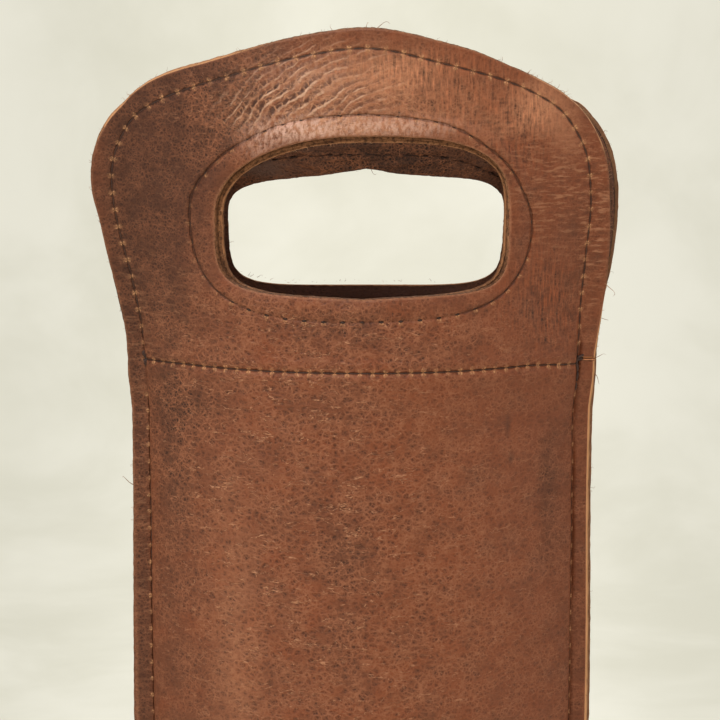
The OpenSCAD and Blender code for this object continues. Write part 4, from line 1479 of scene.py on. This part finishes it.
for side in (front, rear):
    name = sideNames[side]
    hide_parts(name + "_panel", name + "_bend", name + "_handle_panel")
    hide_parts(name + "_facing")
    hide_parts(name + "_edge_stitching")
    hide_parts(name + "_opening_stitching")
    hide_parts(name + "_cross_stitching")
    pieces = [panels[side], linings[side], knotPieces[side], fibrePieces[side]]
    pieces += [seamThreads[side, row] for row in ("edge", "opening", "cross")]
    for piece in pieces:
        bendWith(piece)
    for piece in pieces[2:3] + pieces[4:]:
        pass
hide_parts("base")
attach(foot, "pouch")
for key, node in (("left", "left_side_stitching"), ("right", "right_side_stitching"),
                  ("base", "base_stitching")):
    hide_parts(node)
    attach(seamThreads[key], "pouch")


def flatArea(flat, quads):
    a, b, c, d = (flat[quads[:, k]] for k in range(4))
    return float(np.abs(np.cross(c - a, d - b)).sum() / 2) * mm * mm


def declareSheet(piece, flat, quads, rests):
    width, length = (flat.max(0) - flat.min(0)) * mm
    float(length)
    flatArea(flat, quads)
    print(f"{piece.name}: flat {width:.4f} x {length:.4f} m, {flatArea(flat, quads):.5f} square metres")


for side in (front, rear):
    declareSheet(panels[side], *panelFlat(side), [foot])
    declareSheet(linings[side], *liningFlat(side), [panels[side]])


# Camera at the photograph's view, pale studio and soft lamps

studio = {
    "distance": 1.0, "elevation": 10, "aim": (-0.0006, 0, 0.283), "metresPerPixel": 0.00029, "sensor": 36,
    "pixels": 720, "cream": (245, 242, 226), "shade": (231, 228, 210), "backdropY": 1.2,
    "curve": 0.35, "width": 3.0, "high": 2.6, "start": -2.5,
    "lightTo": 0.03, "darkFrom": 0.22, "levels": (1.06, 0.92), "shadowReach": (0.1, 0.5),
    "shadowGlow": (0.45, 0.86),
}


def makeCamera():
    c = studio
    camera = bpy.data.cameras.new("camera")
    camera.sensor_width = c["sensor"]
    camera.lens = c["distance"] / c["metresPerPixel"] * c["sensor"] / c["pixels"]
    camera.clip_start = 0.01
    holder = newObject("camera", camera)
    tilt = math.radians(c["elevation"])
    x, y, z = c["aim"]
    holder.location = (x, y - c["distance"] * math.cos(tilt), z + c["distance"] * math.sin(tilt))
    holder.rotation_euler = (math.radians(90) - tilt, 0, 0)
    bpy.context.scene.camera = holder


def backdropMaterial():
    # Cream plaster: seen straight on it keeps its own paleness, and it takes shadow as a wall does
    n = newMaterial("cream_backdrop")
    place = n.objectPlace()
    blend = n.noise(place, 9.0, 4.0, 0.55, 0.3) * 0.55 + n.noise(place, 2.5, 2.0, 0.5) * 0.45
    base = n.mix(blend.fade(0.35, 0.6), colour(*studio["shade"]), colour(*studio["cream"]))
    # Painted light: the backdrop is scaled brighter in the middle and darker towards each side, a pool of
    # light on it
    across = n.put("ShaderNodeSeparateXYZ", {0: place}).maths("ABSOLUTE")
    base = n.scaled(base, across.fade(studio["lightTo"], studio["darkFrom"], *studio["levels"]))
    plaster = n.put("ShaderNodeBsdfPrincipled", {"Base Color": base, "Roughness": 0.9})
    glow = n.put("ShaderNodeEmission", {0: base, 1: 1.0})
    seen, glossy, through = (n.put("ShaderNodeLightPath", output="Is " + kind + " Ray")
                             for kind in ("Camera", "Glossy", "Transmission"))
    seen = seen.maths("MAXIMUM", glossy).maths("MAXIMUM", through)
    # Round the foot the floor takes more of the carrier's shadow
    reach = n.put("ShaderNodeVectorMath", {0: place}, "Value", operation="LENGTH")
    share = seen * reach.fade(*studio["shadowReach"], *studio["shadowGlow"])
    both = n.put("ShaderNodeMixShader", {0: share, 1: plaster, 2: glow})
    # Its back lets light and view through, so that the carrier can be seen from every side
    back = n.put("ShaderNodeNewGeometry", output="Backfacing")
    clear = n.put("ShaderNodeBsdfTransparent")
    surface = n.put("ShaderNodeMixShader", {0: back, 1: both, 2: clear})
    n.put("ShaderNodeOutputMaterial", {"Surface": surface})
    return n.owner


def makeStage():
    # Floor that turns up into a wall in one curve
    wall, radius, width, high, start = (
        studio[key] for key in ("backdropY", "curve", "width", "high", "start"))
    line = [(start, 0.0)] + [(wall - radius + radius * math.sin(a), radius - radius * math.cos(a))
                            for a in np.linspace(0, math.pi / 2, 17)] + [(wall, high)]
    points = [(x, y, z) for y, z in line for x in (-width, width)]
    faces = [(2 * i, 2 * i + 1, 2 * i + 3, 2 * i + 2) for i in range(len(line) - 1)]
    floor = newPiece("floor_and_backdrop", points, faces)
    floor.data.materials.append(backdropMaterial())


# Lamps: where each stands, what it faces, its side in metres and its power in watts
lamps = {
    "top_front": {"at": (-0.25, -0.75, 1.3), "to": (0, 0, 0.3), "side": 0.8, "power": 9},
    "left_front": {"at": (-1.1, -0.9, 0.6), "to": (0, 0, 0.25), "side": 0.9, "power": 3.2},
    "right_front": {"at": (1.2, -0.7, 0.5), "to": (0, 0, 0.25), "side": 0.9, "power": 2.4},
    "rear_fill": {"at": (0.3, 0.9, 0.9), "to": (0, 0, 0.25), "side": 0.8, "power": 3},
}


def makeLamps():
    for name, lamp in lamps.items():
        light = bpy.data.lights.new(name, "AREA")
        light.size = lamp["side"]
        light.energy = lamp["power"]
        holder = newObject(name, light)
        away = np.array(lamp["at"]) - np.array(lamp["to"])
        flatAway = math.hypot(away[0], away[1])
        holder.location = lamp["at"]
        holder.rotation_euler = (math.atan2(flatAway, away[2]), 0, math.atan2(away[0], -away[1]))
    world = bpy.data.worlds.new("soft_room")
    world.use_nodes = True
    background = world.node_tree.nodes["Background"]
    background.inputs["Color"].default_value = colour(240, 238, 230)
    n = Nodes(world.node_tree)
    strength = n.put("ShaderNodeLightPath", output="Is Camera Ray").fade(0.0, 1.0, 0.3, 0.95, "LINEAR")
    n.tree.links.new(strength.socket, background.inputs["Strength"])
    bpy.context.scene.world = world


makeCamera()
makeStage()
makeLamps()
bpy.context.scene.view_settings.view_transform = "Standard"
print("scene finished")
